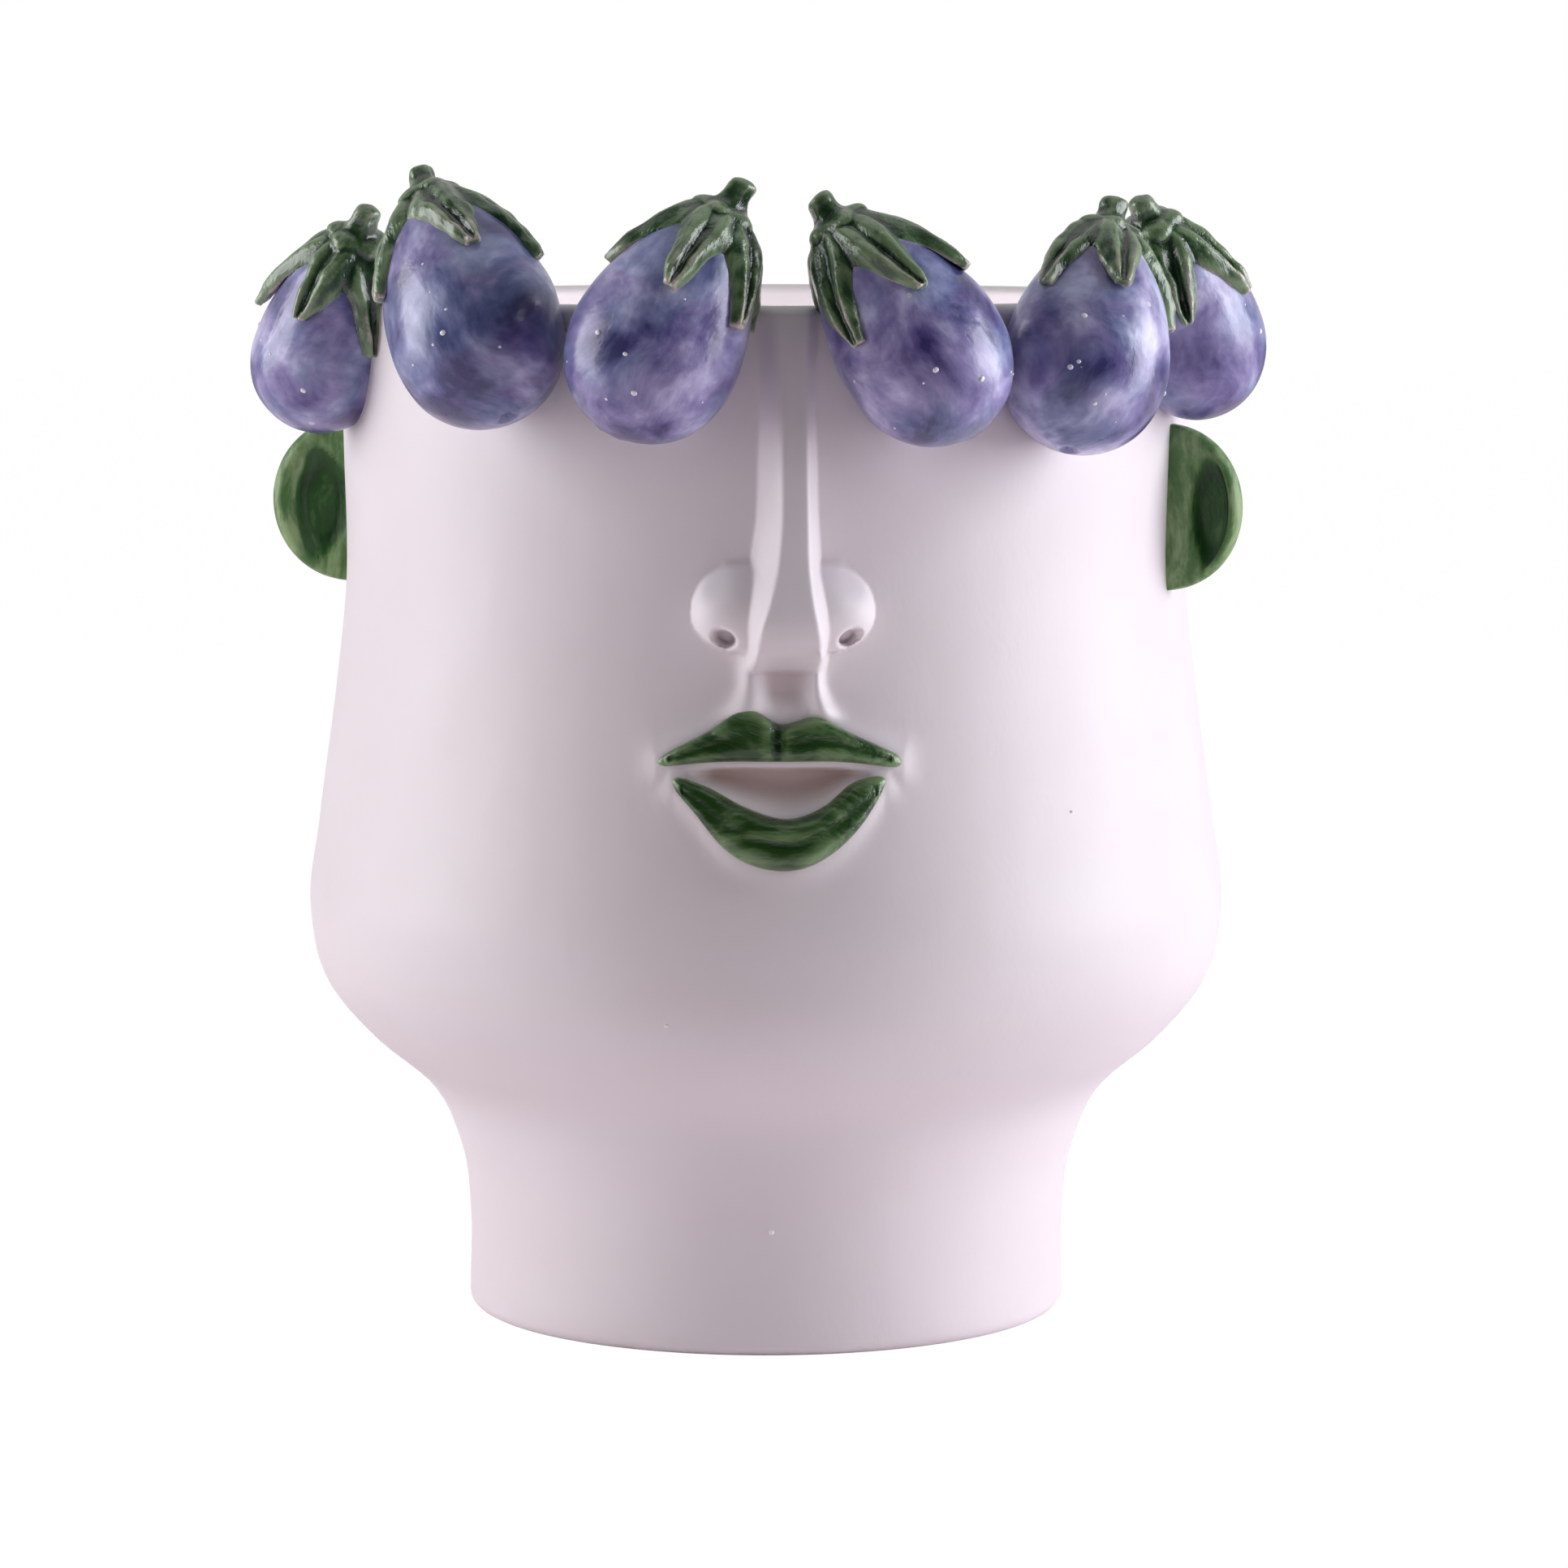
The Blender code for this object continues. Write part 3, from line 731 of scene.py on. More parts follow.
def add_specks(piece, spots):
    """Joins a low dome at each (point, normal, radius, height), all in millimetres."""
    bm = bmesh.new()
    bm.from_mesh(piece.data)
    own = len(bm.verts)
    for wanted, _, radius, tall in spots:
        _, on_skin, normal, _ = piece.closest_point_on_mesh(Vector(wanted) * MM)
        point = on_skin / MM
        turned = Vector(normal).to_track_quat("Z", "Y").to_matrix()
        rings = []
        for level in (0.0, 0.35, 0.68, 0.9):
            out = radius * math.cos(level * math.pi / 2) * 1.0
            up = tall * math.sin(level * math.pi / 2) - (0.3 if level == 0 else 0)
            ring = []
            for k in range(10):
                a = 2 * math.pi * k / 10
                local = Vector((out * math.cos(a), out * math.sin(a) * 0.85, up))
                ring.append(bm.verts.new((point + turned @ local) * MM))
            rings.append(ring)
        for low, high in zip(rings[:-1], rings[1:]):
            for k in range(10):
                bm.faces.new((low[k], low[(k + 1) % 10], high[(k + 1) % 10], high[k])).smooth = True
        bm.faces.new(rings[-1]).smooth = True
        bm.faces.new(rings[0][::-1])
    total = len(bm.verts)
    bm.to_mesh(piece.data)
    bm.free()
    store_number(piece, "speck", [0.0] * own + [1.0] * (total - own))


GRIT = [
    {"azimuth": 0.9, "z": 30.0, "radius": 0.75},
    {"azimuth": -12.0, "z": 84.0, "radius": 0.5},
    {"azimuth": 41.0, "z": 130.0, "radius": 0.4},
    {"azimuth": -118.0, "z": 160.0, "radius": 0.5},
    {"azimuth": 163.0, "z": 52.0, "radius": 0.6},
    {"azimuth": 128.0, "z": 204.0, "radius": 0.4},
]


def jar_specks():
    spots = []
    for grain in GRIT:
        a = math.radians(grain["azimuth"])
        r = float(wall_radius(grain["z"]))
        normal = (math.sin(a), -math.cos(a), 0.0)
        spots.append(((r * normal[0], r * normal[1], grain["z"]), normal, grain["radius"], 0.45))
    return spots


add_specks(jar, jar_specks())
settle(jar, ["vase_body"])


def fruit_specks(number, fruit):
    dots = random.Random(100 + number)
    spots = []
    while len(spots) < 8:
        along = np.array(dots.uniform(-0.35, 0.8))
        angle = np.array(math.radians(-90 + dots.uniform(-75, 75)))
        point, normal = on_fruit(fruit, along, angle)
        radius = dots.choice((0.35, 0.45, 0.6, 0.8))
        spots.append((point, normal, radius, radius * 0.4))
    return spots


fruit_bodies = [fruit_body(number, fruit) for number, fruit in enumerate(FRUITS, 1)]
for number, body in enumerate(fruit_bodies, 1):
    add_specks(body, fruit_specks(number, FRUITS[number - 1]))
    heights = np.array([v.co.z for v in body.data.vertices]) / MM
    store_number(body, "blossom", np.clip(0.5 - heights / FRUITS[number - 1]["length"], 0, 1))
    keep_place(body)
    settle(body, [f"eggplant_{number}"])

# %% [markdown]
# ## Calyx and stem
#
# The sepals were cut from a thin slab, creased down the middle with a tool and draped over the fruit, and
# a stub of clay was stuck on top for the stem. Each sepal here is a strip with a thick edge, a groove and
# two ridges, laid along the fruit. A fine voxel remesh then melts the strips, the crown and the stub into
# one skin, as the wet clay did.

# %% One sepal, as a closed strip that lies on the fruit
SEPAL_ROWS = 34
SEPAL_ACROSS = 17


def sepal(fruit, spec, name):
    u = np.linspace(0, 1, SEPAL_ROWS)[:, None]
    v = np.sin(np.linspace(-1, 1, SEPAL_ACROSS) * math.pi / 2)[None, :]
    angle = math.radians(spec["angle"]) + spec["sweep"] * u**1.5
    along = -np.cos(math.pi * spec["reach"] * (0.06 + 0.94 * u))
    point, normal = on_fruit(fruit, along, angle)
    across = np.stack([-np.sin(angle), np.cos(angle), 0 * angle], axis=-1)
    width = spec["width"] * through(u, [(0, 0.6), (0.25, 1.0), (0.45, 0.98), (0.7, 0.62), (0.9, 0.38), (1, 0.2)], 1)
    x = width * v
    bend = np.maximum(egg_radius(fruit, along), 5.0)
    lift = spec["lift"] * u**3
    fold = spec["fold"] * ease(u, 0.05, 0.5) * (1 - 0.5 * ease(u, 0.85, 1))
    folds = spec["folds"] * u * (1 - u)
    ridge = 1.0 * np.exp(-(((np.abs(v - folds) - 0.5) / 0.25) ** 2)) - 1.5 * np.exp(-(((v - folds) / 0.15) ** 2))
    thick = (2.0 - 0.4 * u) * np.clip(1 - np.abs(v) ** 5, 0, 1) ** 0.5 + fold * ridge
    droop = bend * (1 - np.cos(x / bend))
    wave = 0.35 * np.sin(u * 7 + spec["angle"]) * v

    def layer(height):
        return (
            point
            + across * (bend * np.sin(x / bend))[..., None]
            + normal * (height + lift - droop + wave)[..., None]
        )

    top = layer(0.1 + thick)
    bottom = layer(-0.5 + 0 * thick)
    ring = np.concatenate([top, bottom[:, ::-1]], axis=1)
    return skin(name, ring, True, ring[0].mean(0), ring[-1].mean(0))


# %% The crown and the stub of the stem


def crown(fruit, name):
    turn = np.linspace(0.05, math.pi - 0.05, 20)[:, None]
    angle = np.linspace(0, 2 * math.pi, 32, endpoint=False)[None, :]
    radius = 7.4 * np.sin(turn) * (1 + 0.10 * np.cos(5 * (angle - math.radians(fruit["turn"]))))
    z = fruit["length"] / 2 - 1.7 + 3.6 * np.cos(turn) + 0 * angle
    points = np.stack([radius * np.cos(angle), radius * np.sin(angle), z], axis=-1)
    return skin(name, points[::-1], True, points[-1].mean(0), points[0].mean(0))


def stub(fruit, spec, name):
    u = np.linspace(0, 1, 22)[:, None]
    angle = np.linspace(0, 2 * math.pi, 28, endpoint=False)[None, :]
    radius = spec["thick"] * through(u, [(0, 1.75), (0.2, 1.32), (0.45, 1.08), (0.75, 1.0), (0.92, 0.78), (1, 0.35)], 1)
    radius = radius * (1 + 0.05 * np.cos(5 * angle + spec["bend_angle"]))
    z = fruit["length"] / 2 + 0.2 + spec["tall"] * u + 0 * angle
    sway = spec["bend"] * u**2
    x = radius * np.cos(angle) + sway * math.cos(spec["bend_angle"])
    y = radius * np.sin(angle) + sway * math.sin(spec["bend_angle"])
    points = np.stack([x, y, z], axis=-1)
    return skin(name, points, True, points[0].mean(0), points[-1].mean(0))


# %% [markdown]
# ## Where a glaze runs thin
#
# A glaze melts off sharp ridges and gathers in hollows, so green goes pale on the edges of a sepal. The
# shader needs to know where the edges are. This helper measures each point against its neighbours,
# smooths the answer, and stores it on the mesh, where the material can read it by name. The white glaze
# reads the same measure to paint highlight on ridges and shade in hollows.

# %% Measure ridges and hollows


def store_ridges(piece, smoothing=3, sharp=0.1):
    """Writes the attribute ridge: 0.5 where flat, towards 1 on ridges and towards 0 in hollows."""
    mesh = piece.data
    count = len(mesh.vertices)
    points = np.zeros(count * 3)
    mesh.vertices.foreach_get("co", points)
    points = points.reshape(-1, 3) / MM
    normals = np.zeros(count * 3)
    mesh.vertices.foreach_get("normal", normals)
    normals = normals.reshape(-1, 3)
    edges = np.zeros(len(mesh.edges) * 2, int)
    mesh.edges.foreach_get("vertices", edges)
    a, b = edges.reshape(-1, 2).T

    def neighbours(values):
        total = np.zeros_like(values)
        np.add.at(total, a, values[b])
        np.add.at(total, b, values[a])
        return total

    degree = neighbours(np.ones(count))
    spread = np.zeros(count)
    gap = np.linalg.norm(points[a] - points[b], axis=1)
    np.add.at(spread, a, gap)
    np.add.at(spread, b, gap)
    spread = np.maximum(spread / np.maximum(degree, 1), 1e-6)
    middle = neighbours(points) / np.maximum(degree, 1)[:, None]
    bend = ((points - middle) * normals).sum(1) / spread**2
    for _ in range(smoothing):
        bend = 0.5 * bend + 0.5 * neighbours(bend) / np.maximum(degree, 1)
    value = 0.5 + 0.5 * np.tanh(bend / sharp / 2)
    layer = mesh.attributes.new("ridge", "FLOAT", "POINT")
    layer.data.foreach_set("value", value.astype(np.float32))
    return float(value.min()), float(value.max())


# %% Make the six calyxes, each with its stem
VOXEL = 0.00042
# For each fruit, its five sepals: (direction round the fruit in degrees, reach towards the blossom end).
SEPALS = [
    [(20, 0.47), (96, 0.46), (164, 0.49), (-130, 0.51), (-46, 0.42)],
    [(-44, 0.44), (28, 0.47), (100, 0.42), (172, 0.47), (-132, 0.45)],
    [(40, 0.43), (124, 0.47), (-174, 0.44), (-96, 0.43), (-21, 0.44)],
    [(-14, 0.47), (55, 0.43), (130, 0.45), (-151, 0.465), (-84, 0.44)],
    [(-45, 0.44), (30, 0.46), (95, 0.44), (176, 0.435), (-118, 0.415)],
    [(-2, 0.43), (74, 0.47), (142, 0.47), (-141, 0.44), (-82, 0.47)],
]
dice = random.Random(12)


def melt(parts, name, fruit):
    """Joins closed skins, fuses them with a voxel remesh, softens them and presses them on the wall."""
    bm = bmesh.new()
    for part in parts:
        bm.from_mesh(part.data)
        bpy.data.objects.remove(part)
    mesh = bpy.data.meshes.new(name)
    bm.to_mesh(mesh)
    bm.free()
    piece = bpy.data.objects.new(name, mesh)
    bpy.context.scene.collection.objects.link(piece)
    fuse = piece.modifiers.new("fuse", "REMESH")
    fuse.mode = "VOXEL"
    fuse.voxel_size = VOXEL
    fuse.use_smooth_shade = True
    soften = piece.modifiers.new("soften", "SMOOTH")
    soften.factor = 0.5
    soften.iterations = 2
    piece.matrix_world = seat(fruit)
    press_on_wall(piece)
    apply_all(piece)
    knead(piece, len(name) + int(fruit["turn"]))
    keep_place(piece)
    return piece


def knead(piece, seed):
    """Small dents and lumps, as fingers and a tool leave in soft clay."""
    count = len(piece.data.vertices)
    points, normals = np.zeros(count * 3), np.zeros(count * 3)
    piece.data.vertices.foreach_get("co", points)
    piece.data.vertices.foreach_get("normal", normals)
    points, normals = points.reshape(-1, 3), normals.reshape(-1, 3)
    lumps = wobble(points / MM, seed, 6.0, 16) * 0.16 + wobble(points / MM, seed + 9, 12.0, 12) * 0.24
    points = points + normals * lumps[:, None] * MM
    piece.data.vertices.foreach_set("co", points.ravel())
    piece.data.update()


def calyx(number, fruit):
    parts = [crown(fruit, "crown")]
    for leaf, (direction, reach) in enumerate(SEPALS[number - 1]):
        spec = {
            "angle": direction,
            "sweep": dice.uniform(-0.2, 0.2),
            "reach": reach,
            "width": 8.2 * dice.uniform(0.9, 1.1),
            "lift": dice.uniform(0.1, 1.3),
            "fold": dice.uniform(0.7, 1.05),
            "folds": dice.uniform(-1.2, 1.2),
        }
        parts.append(sepal(fruit, spec, f"sepal_{leaf}"))
    top = {"thick": 3.0, "tall": dice.uniform(6.0, 7.6), "bend": dice.uniform(0.3, 1.2), "bend_angle": dice.uniform(0, 6.28)}
    parts.append(stub(fruit, top, "stub"))
    return melt(parts, f"calyx_with_stem_{number}", fruit)


calyxes = [calyx(number, fruit) for number, fruit in enumerate(FRUITS, 1)]
for number, piece in enumerate(calyxes, 1):
    low, high = store_ridges(piece)
    settle(piece, [f"calyx_{number}", f"stem_{number}"])
    print("ridge from", round(low, 2), "to", round(high, 2))
bpy.data.objects.remove(plug)
for piece in (upper_lip, lower_lip, jar):
    store_ridges(piece)
for spec in EARS:
    store_ridges(bpy.data.objects[spec["name"] + "_pat"])

# %% [markdown]
# ## Shared glaze effects
#
# All the glazes were put on with a soft brush and melted. Two effects turn up in every one: the brush
# leaves long clouds of thicker and thinner colour, and small bubbles burst and leave pale pinholes. Each
# is a node group with named sockets, so every glaze can use it at its own scale.

# %% Helpers for node trees


def node(tree, kind, place=(0, 0), **values):
    made = tree.nodes.new(kind)
    made.location = place
    for key, value in values.items():
        setattr(made, key, value)
    return made


def math_node(tree, operation, first, second=None, clamp=False):
    made = node(tree, "ShaderNodeMath", operation=operation, use_clamp=clamp)
    for socket, value in zip(made.inputs, (first, second)):
        if value is None:
            continue
        if isinstance(value, (int, float)):
            socket.default_value = value
        else:
            tree.links.new(value, socket)
    return made.outputs[0]


def ramp(tree, value, stops):
    """A colour ramp over these (place, colour) stops."""
    made = node(tree, "ShaderNodeValToRGB")
    tree.links.new(value, made.inputs["Fac"])
    elements = made.color_ramp.elements
    while len(elements) > 1:
        elements.remove(elements[-1])
    elements[0].position, elements[0].color = stops[0][0], (*stops[0][1], 1)
    for place, colour in stops[1:]:
        element = elements.new(place)
        element.color = (*colour, 1)
    return made.outputs["Color"]


def mask_ramp(tree, value, low, high):
    """0 below low and 1 above high."""
    made = node(tree, "ShaderNodeMapRange", interpolation_type="SMOOTHSTEP")
    tree.links.new(value, made.inputs["Value"])
    made.inputs["From Min"].default_value = low
    made.inputs["From Max"].default_value = high
    return made.outputs["Result"]


def mix_colour(tree, factor, first, second, blend="MIX"):
    made = node(tree, "ShaderNodeMix", data_type="RGBA", blend_type=blend)
    for socket, value in ((made.inputs[0], factor), (made.inputs[6], first), (made.inputs[7], second)):
        if isinstance(value, bpy.types.NodeSocket):
            tree.links.new(value, socket)
        elif isinstance(value, (int, float)):
            socket.default_value = value
        else:
            socket.default_value = (*value, 1)
    return made.outputs[2]


def group(name, inputs, outputs):
    """A new node group with these named sockets, and its input and output nodes."""
    tree = bpy.data.node_groups.new(name, "ShaderNodeTree")
    for label, kind, default in inputs:
        socket = tree.interface.new_socket(name=label, in_out="INPUT", socket_type=kind)
        if default is not None:
            socket.default_value = default
    for label, kind in outputs:
        tree.interface.new_socket(name=label, in_out="OUTPUT", socket_type=kind)
    return tree, tree.nodes.new("NodeGroupInput"), tree.nodes.new("NodeGroupOutput")


def place_group(tree, name, **values):
    """Puts a group in a tree. Socket names have spaces where the keywords have underscores."""
    made = node(tree, "ShaderNodeGroup")
    made.node_tree = bpy.data.node_groups[name]
    for key, value in values.items():
        socket = made.inputs[key.replace("_", " ")]
        if isinstance(value, bpy.types.NodeSocket):
            tree.links.new(value, socket)
        else:
            socket.default_value = value
    return made


# %% The brushed clouds


def build_brushed_clouds():
    tree, given, result = group(
        "Brushed clouds",
        [
            ("Vector", "NodeSocketVector", None),
            ("Batch", "NodeSocketFloat", 0.0),
            ("Cloud Scale", "NodeSocketFloat", 60.0),
            ("Stroke Scale", "NodeSocketFloat", 200.0),
            ("Stroke Stretch", "NodeSocketVector", (1.0, 1.0, 0.25)),
        ],
        [("Clouds", "NodeSocketFloat"), ("Strokes", "NodeSocketFloat"), ("Hue Drift", "NodeSocketFloat")],
    )
    bend = node(tree, "ShaderNodeTexNoise", noise_dimensions="4D")
    tree.links.new(given.outputs["Vector"], bend.inputs["Vector"])
    tree.links.new(given.outputs["Batch"], bend.inputs["W"])
    bend.inputs["Scale"].default_value = 45.0
    bend.inputs["Detail"].default_value = 1.0
    push = node(tree, "ShaderNodeVectorMath", operation="MULTIPLY_ADD")
    tree.links.new(bend.outputs["Color"], push.inputs[0])
    push.inputs[1].default_value = (0.012, 0.012, 0.012)
    tree.links.new(given.outputs["Vector"], push.inputs[2])
    clouds = node(tree, "ShaderNodeTexNoise", noise_dimensions="4D")
    tree.links.new(push.outputs[0], clouds.inputs["Vector"])
    tree.links.new(given.outputs["Batch"], clouds.inputs["W"])
    tree.links.new(given.outputs["Cloud Scale"], clouds.inputs["Scale"])
    clouds.inputs["Detail"].default_value = 3.0
    clouds.inputs["Roughness"].default_value = 0.55
    stretch = node(tree, "ShaderNodeVectorMath", operation="MULTIPLY")
    tree.links.new(push.outputs[0], stretch.inputs[0])
    tree.links.new(given.outputs["Stroke Stretch"], stretch.inputs[1])
    strokes = node(tree, "ShaderNodeTexNoise", noise_dimensions="4D")
    tree.links.new(stretch.outputs[0], strokes.inputs["Vector"])
    tree.links.new(given.outputs["Batch"], strokes.inputs["W"])
    tree.links.new(given.outputs["Stroke Scale"], strokes.inputs["Scale"])
    strokes.inputs["Detail"].default_value = 4.0
    strokes.inputs["Roughness"].default_value = 0.62
    hue = node(tree, "ShaderNodeTexNoise", noise_dimensions="4D")
    tree.links.new(push.outputs[0], hue.inputs["Vector"])
    tree.links.new(math_node(tree, "ADD", given.outputs["Batch"], 7.3), hue.inputs["W"])
    tree.links.new(given.outputs["Cloud Scale"], hue.inputs["Scale"])
    hue.inputs["Detail"].default_value = 2.0
    tree.links.new(clouds.outputs["Fac"], result.inputs["Clouds"])
    tree.links.new(strokes.outputs["Fac"], result.inputs["Strokes"])
    tree.links.new(hue.outputs["Fac"], result.inputs["Hue Drift"])
    return tree


print("group:", build_brushed_clouds().name)

# %% The pinholes


def build_pinholes():
    tree, given, result = group(
        "Pinholes",
        [
            ("Vector", "NodeSocketVector", None),
            ("Scale", "NodeSocketFloat", 120.0),
            ("Size", "NodeSocketFloat", 0.09),
            ("Share", "NodeSocketFloat", 0.2),
        ],
        [("Mask", "NodeSocketFloat")],
    )
    cells = node(tree, "ShaderNodeTexVoronoi", feature="F1")
    tree.links.new(given.outputs["Vector"], cells.inputs["Vector"])
    tree.links.new(given.outputs["Scale"], cells.inputs["Scale"])
    split = node(tree, "ShaderNodeSeparateColor")
    tree.links.new(cells.outputs["Color"], split.inputs["Color"])
    size = math_node(tree, "MULTIPLY", given.outputs["Size"], math_node(tree, "ADD", split.outputs["Green"], 0.4))
    near = math_node(tree, "LESS_THAN", cells.outputs["Distance"], size)
    chosen = math_node(tree, "LESS_THAN", split.outputs["Red"], given.outputs["Share"])
    tree.links.new(math_node(tree, "MULTIPLY", near, chosen), result.inputs["Mask"])
    return tree


print("group:", build_pinholes().name)

# %% [markdown]
# ## White glaze
#
# The jar's glaze is a soft white with a breath of pink where the clay shows through, a little uneven in
# thickness and not quite glossy. A few grains of grit stand up under it. Light and shade are also painted
# into its colour: paler on ridges as painted highlight, darker in creases and hollows and browner in the
# nostrils and the mouth as painted shade.

# %% Make the white glaze


def new_glaze(name, roughness, coat, coat_roughness):
    material = bpy.data.materials.new(name)
    material.use_nodes = True
    tree = material.node_tree
    shader = tree.nodes["Principled BSDF"]
    shader.inputs["Roughness"].default_value = roughness
    shader.inputs["IOR"].default_value = 1.5
    shader.inputs["Coat Weight"].default_value = coat
    shader.inputs["Coat Roughness"].default_value = coat_roughness
    if name in ("leaf_green", "aubergine_violet"):
        where = node(tree, "ShaderNodeAttribute", attribute_name="own_place").outputs["Vector"]
    else:
        where = node(tree, "ShaderNodeTexCoord").outputs["Object"]
    return material, tree, shader, where


def add_bump(tree, shader, height, distance):
    bump = node(tree, "ShaderNodeBump")
    bump.inputs["Distance"].default_value = distance
    bump.inputs["Strength"].default_value = 1.0
    tree.links.new(height, bump.inputs["Height"])
    tree.links.new(bump.outputs["Normal"], shader.inputs["Normal"])
    tree.links.new(bump.outputs["Normal"], shader.inputs["Coat Normal"])


def attribute(tree, name):
    made = node(tree, "ShaderNodeAttribute", attribute_name=name)
    return made.outputs["Fac"]


def white_glaze():
    material, tree, shader, where = new_glaze("white_glaze", 0.5, 0.12, 0.35)
    clouds = place_group(
        tree, "Brushed clouds", Vector=where, Cloud_Scale=11.0, Stroke_Scale=60.0, Stroke_Stretch=(1.0, 1.0, 0.5)
    )
    grit = place_group(tree, "Pinholes", Vector=where, Scale=34.0, Size=0.016, Share=0.12)
    base = ramp(
        tree,
        clouds.outputs["Clouds"],
        [(0.3, (0.815, 0.755, 0.775)), (0.5, (0.835, 0.782, 0.805)), (0.7, (0.85, 0.805, 0.83))],
    )
    # Painted highlight: ridges of the jar are made paler, as if catching the light
    ridge = mask_ramp(tree, attribute(tree, "ridge"), 0.5, 0.95)
    base = mix_colour(tree, math_node(tree, "MULTIPLY", ridge, 0.6), base, (0.90, 0.86, 0.87))
    # Painted shade: creases and hollows of the jar are made darker and pinker
    hollow = mask_ramp(tree, attribute(tree, "ridge"), 0.46, 0.1)
    base = mix_colour(tree, math_node(tree, "MULTIPLY", hollow, 0.35), base, (0.70, 0.62, 0.62))
    # Painted shade: the nostrils and the mouth are darkened and browned by how deep they are pressed in
    painted_recess_shade = math_node(tree, "MULTIPLY", attribute(tree, "painted_recess_shade"), 0.75)
    base = mix_colour(tree, painted_recess_shade, base, (0.60, 0.45, 0.39))
    base = mix_colour(tree, grit.outputs["Mask"], base, (0.93, 0.91, 0.91))
    base = mix_colour(tree, attribute(tree, "speck"), base, (0.95, 0.94, 0.94))
    tree.links.new(base, shader.inputs["Base Color"])
    rough = mask_ramp(tree, clouds.outputs["Strokes"], 0.2, 0.8)
    rough = math_node(tree, "ADD", math_node(tree, "MULTIPLY", rough, 0.12), 0.44)
    tree.links.new(rough, shader.inputs["Roughness"])
    height = math_node(tree, "MULTIPLY", clouds.outputs["Strokes"], 0.5)
    height = math_node(tree, "ADD", height, math_node(tree, "MULTIPLY", grit.outputs["Mask"], 0.5))
    add_bump(tree, shader, height, 0.0005)
    return material


jar.data.materials.clear()
jar.data.materials.append(white_glaze())

# %% [markdown]
# ## Green glazes
#
# Copper green is dark where it is thick and grassy where it is thin. The lips and ears were painted in
# long strokes, and the sepals carry a paler, yellower green on their ridges, with bare pinkish clay on
# the sharpest edges.

# %% Make the greens


def green_glaze(name, deep, mid, light, stretch, bare_amount, coat, cloud_scale=70.0, stroke_scale=260.0):
    material, tree, shader, where = new_glaze(name, 0.30, coat, 0.16)
    clouds = place_group(
        tree,
        "Brushed clouds",
        Vector=where,
        Cloud_Scale=cloud_scale,
        Stroke_Scale=stroke_scale,
        Stroke_Stretch=stretch,
    )
    blend = math_node(tree, "MULTIPLY", clouds.outputs["Strokes"], 0.6)
    blend = math_node(tree, "ADD", blend, math_node(tree, "MULTIPLY", clouds.outputs["Clouds"], 0.4))
    ridge = attribute(tree, "ridge")
    lifted = math_node(tree, "MULTIPLY", math_node(tree, "SUBTRACT", ridge, 0.5), 0.44)
    blend = math_node(tree, "ADD", blend, lifted)
    colour = ramp(tree, blend, [(0.34, deep), (0.5, mid), (0.66, light)])
    edge = mask_ramp(tree, ridge, 0.86, 0.99)
    patchy = mask_ramp(tree, clouds.outputs["Hue Drift"], 0.42, 0.62)
    bare = math_node(tree, "MULTIPLY", math_node(tree, "MULTIPLY", edge, patchy), bare_amount)
    colour = mix_colour(tree, bare, colour, (0.55, 0.46, 0.42))
    spots = place_group(tree, "Pinholes", Vector=where, Scale=150.0, Size=0.10, Share=0.035)
    colour = mix_colour(tree, spots.outputs["Mask"], colour, (0.45, 0.50, 0.42))
    if name == "ear_green":
        streaks = mask_ramp(tree, clouds.outputs["Strokes"], 0.38, 0.66)
        rim = mix_colour(tree, streaks, (0.065, 0.17, 0.040), (0.27, 0.40, 0.18))
        colour = mix_colour(tree, attribute(tree, "dish"), rim, colour)
    tree.links.new(colour, shader.inputs["Base Color"])
    least = 0.34 if name == "ear_green" else 0.18
    rough = math_node(tree, "ADD", math_node(tree, "MULTIPLY", clouds.outputs["Strokes"], 0.25), least)
    tree.links.new(rough, shader.inputs["Roughness"])
    height = math_node(tree, "ADD", clouds.outputs["Strokes"], math_node(tree, "MULTIPLY", clouds.outputs["Clouds"], 0.6))
    add_bump(tree, shader, height, 0.0006)
    return material


leaf = green_glaze(
    "leaf_green", (0.006, 0.025, 0.009), (0.022, 0.066, 0.022), (0.17, 0.26, 0.13), (1.0, 1.0, 0.35), 0.9, 0.7
)
lip_green = green_glaze(
    "lip_green", (0.005, 0.026, 0.003), (0.018, 0.064, 0.010), (0.16, 0.27, 0.11), (0.22, 1.0, 1.0), 0.25, 0.5
)
ear_green = green_glaze(
    "ear_green", (0.006, 0.042, 0.004), (0.018, 0.098, 0.010), (0.17, 0.30, 0.10), (1.0, 1.0, 0.30), 0.25, 0.05
)
for piece in calyxes:
    piece.data.materials.clear()
    piece.data.materials.append(leaf)
for piece in (upper_lip, lower_lip):
    piece.data.materials.append(lip_green)
for spec in EARS:
    bpy.data.objects[spec["name"] + "_pat"].data.materials.append(ear_green)
print("greens:", leaf.name, lip_green.name, ear_green.name)

# %% [markdown]
# ## Violet glaze
#
# The fruits were dabbed with violet, blue and grey washes that ran into each other, like watercolour. The
# clouds are darkest towards the blossom end, and tiny bubbles left white pinholes.

# %% Make the violet, one batch for each fruit


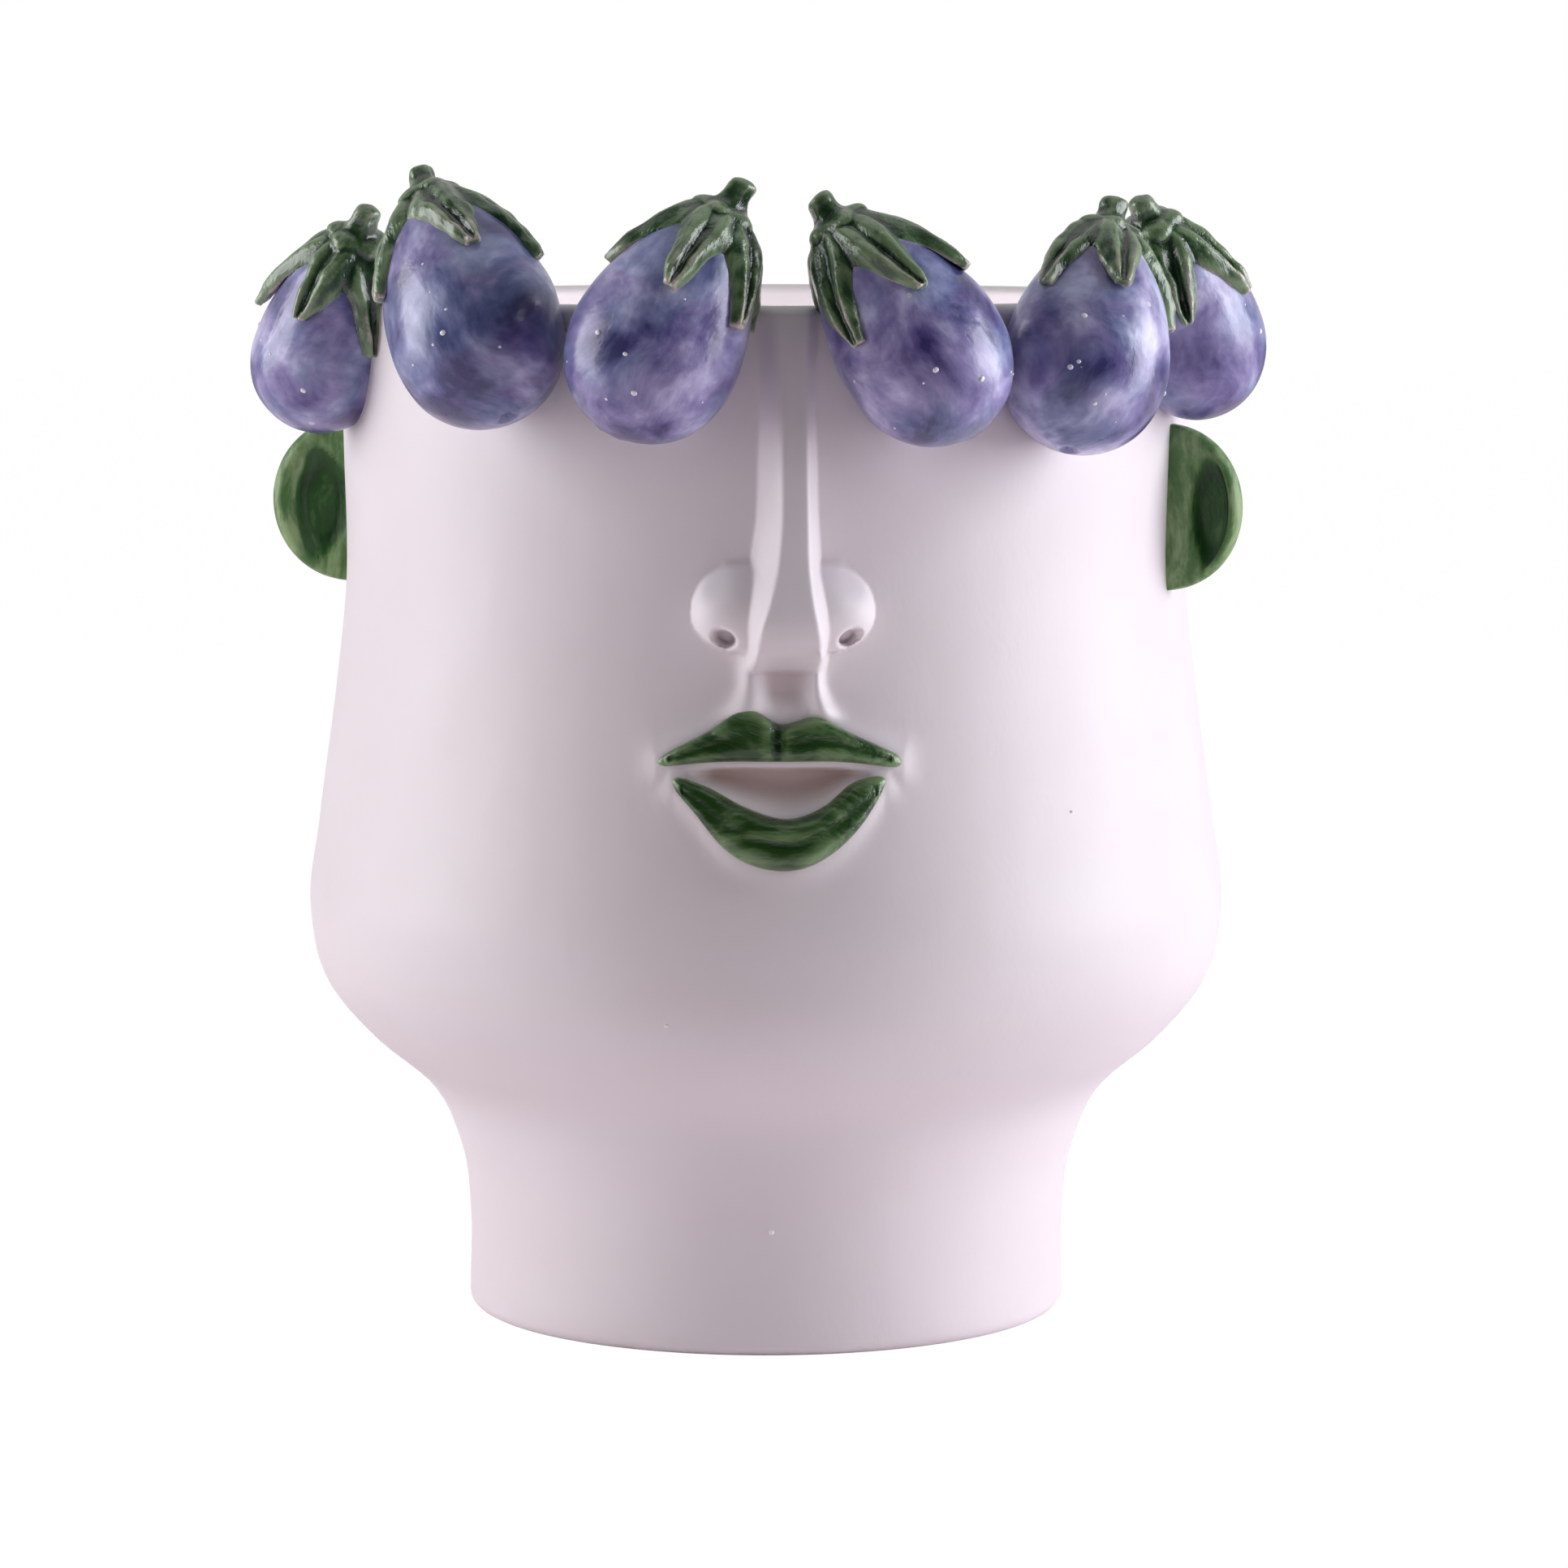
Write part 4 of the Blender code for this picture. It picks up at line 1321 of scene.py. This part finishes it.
def violet_glaze():
    material, tree, shader, where = new_glaze("aubergine_violet", 0.42, 0.55, 0.2)
    batch = attribute(tree, "batch")
    clouds = place_group(
        tree,
        "Brushed clouds",
        Vector=where,
        Batch=batch,
        Cloud_Scale=62.0,
        Stroke_Scale=150.0,
        Stroke_Stretch=(1.0, 0.45, 0.6),
    )
    blend = math_node(tree, "MULTIPLY", clouds.outputs["Clouds"], 0.58)
    blend = math_node(tree, "ADD", blend, math_node(tree, "MULTIPLY", clouds.outputs["Strokes"], 0.42))
    low_end = attribute(tree, "blossom")
    blend = math_node(tree, "SUBTRACT", blend, math_node(tree, "MULTIPLY", low_end, 0.07))
    violet = ramp(
        tree,
        blend,
        [(0.36, (0.048, 0.036, 0.16)), (0.43, (0.15, 0.125, 0.33)), (0.50, (0.29, 0.26, 0.50)), (0.59, (0.60, 0.57, 0.84))],
    )
    blue = ramp(
        tree,
        blend,
        [(0.36, (0.045, 0.055, 0.16)), (0.43, (0.12, 0.15, 0.33)), (0.50, (0.26, 0.29, 0.51)), (0.59, (0.54, 0.58, 0.84))],
    )
    colour = mix_colour(tree, mask_ramp(tree, clouds.outputs["Hue Drift"], 0.42, 0.6), violet, blue)
    spots = place_group(tree, "Pinholes", Vector=where, Scale=150.0, Size=0.12, Share=0.12)
    colour = mix_colour(tree, spots.outputs["Mask"], colour, (0.62, 0.60, 0.75))
    colour = mix_colour(tree, attribute(tree, "speck"), colour, (0.86, 0.85, 0.90))
    tree.links.new(colour, shader.inputs["Base Color"])
    rough = math_node(tree, "ADD", math_node(tree, "MULTIPLY", clouds.outputs["Strokes"], 0.22), 0.2)
    tree.links.new(rough, shader.inputs["Roughness"])
    height = math_node(tree, "ADD", clouds.outputs["Clouds"], math_node(tree, "MULTIPLY", clouds.outputs["Strokes"], 0.4))
    height = math_node(tree, "ADD", height, math_node(tree, "MULTIPLY", spots.outputs["Mask"], 0.35))
    add_bump(tree, shader, height, 0.0007)
    return material


violet = violet_glaze()
for number, piece in enumerate(fruit_bodies, 1):
    store_number(piece, "batch", np.full(len(piece.data.vertices), number * 3.7))
    piece.data.materials.clear()
    piece.data.materials.append(violet)
print("violet on", len(fruit_bodies), "fruits")

# %% Bring the scene up to date
bpy.context.view_layer.update()
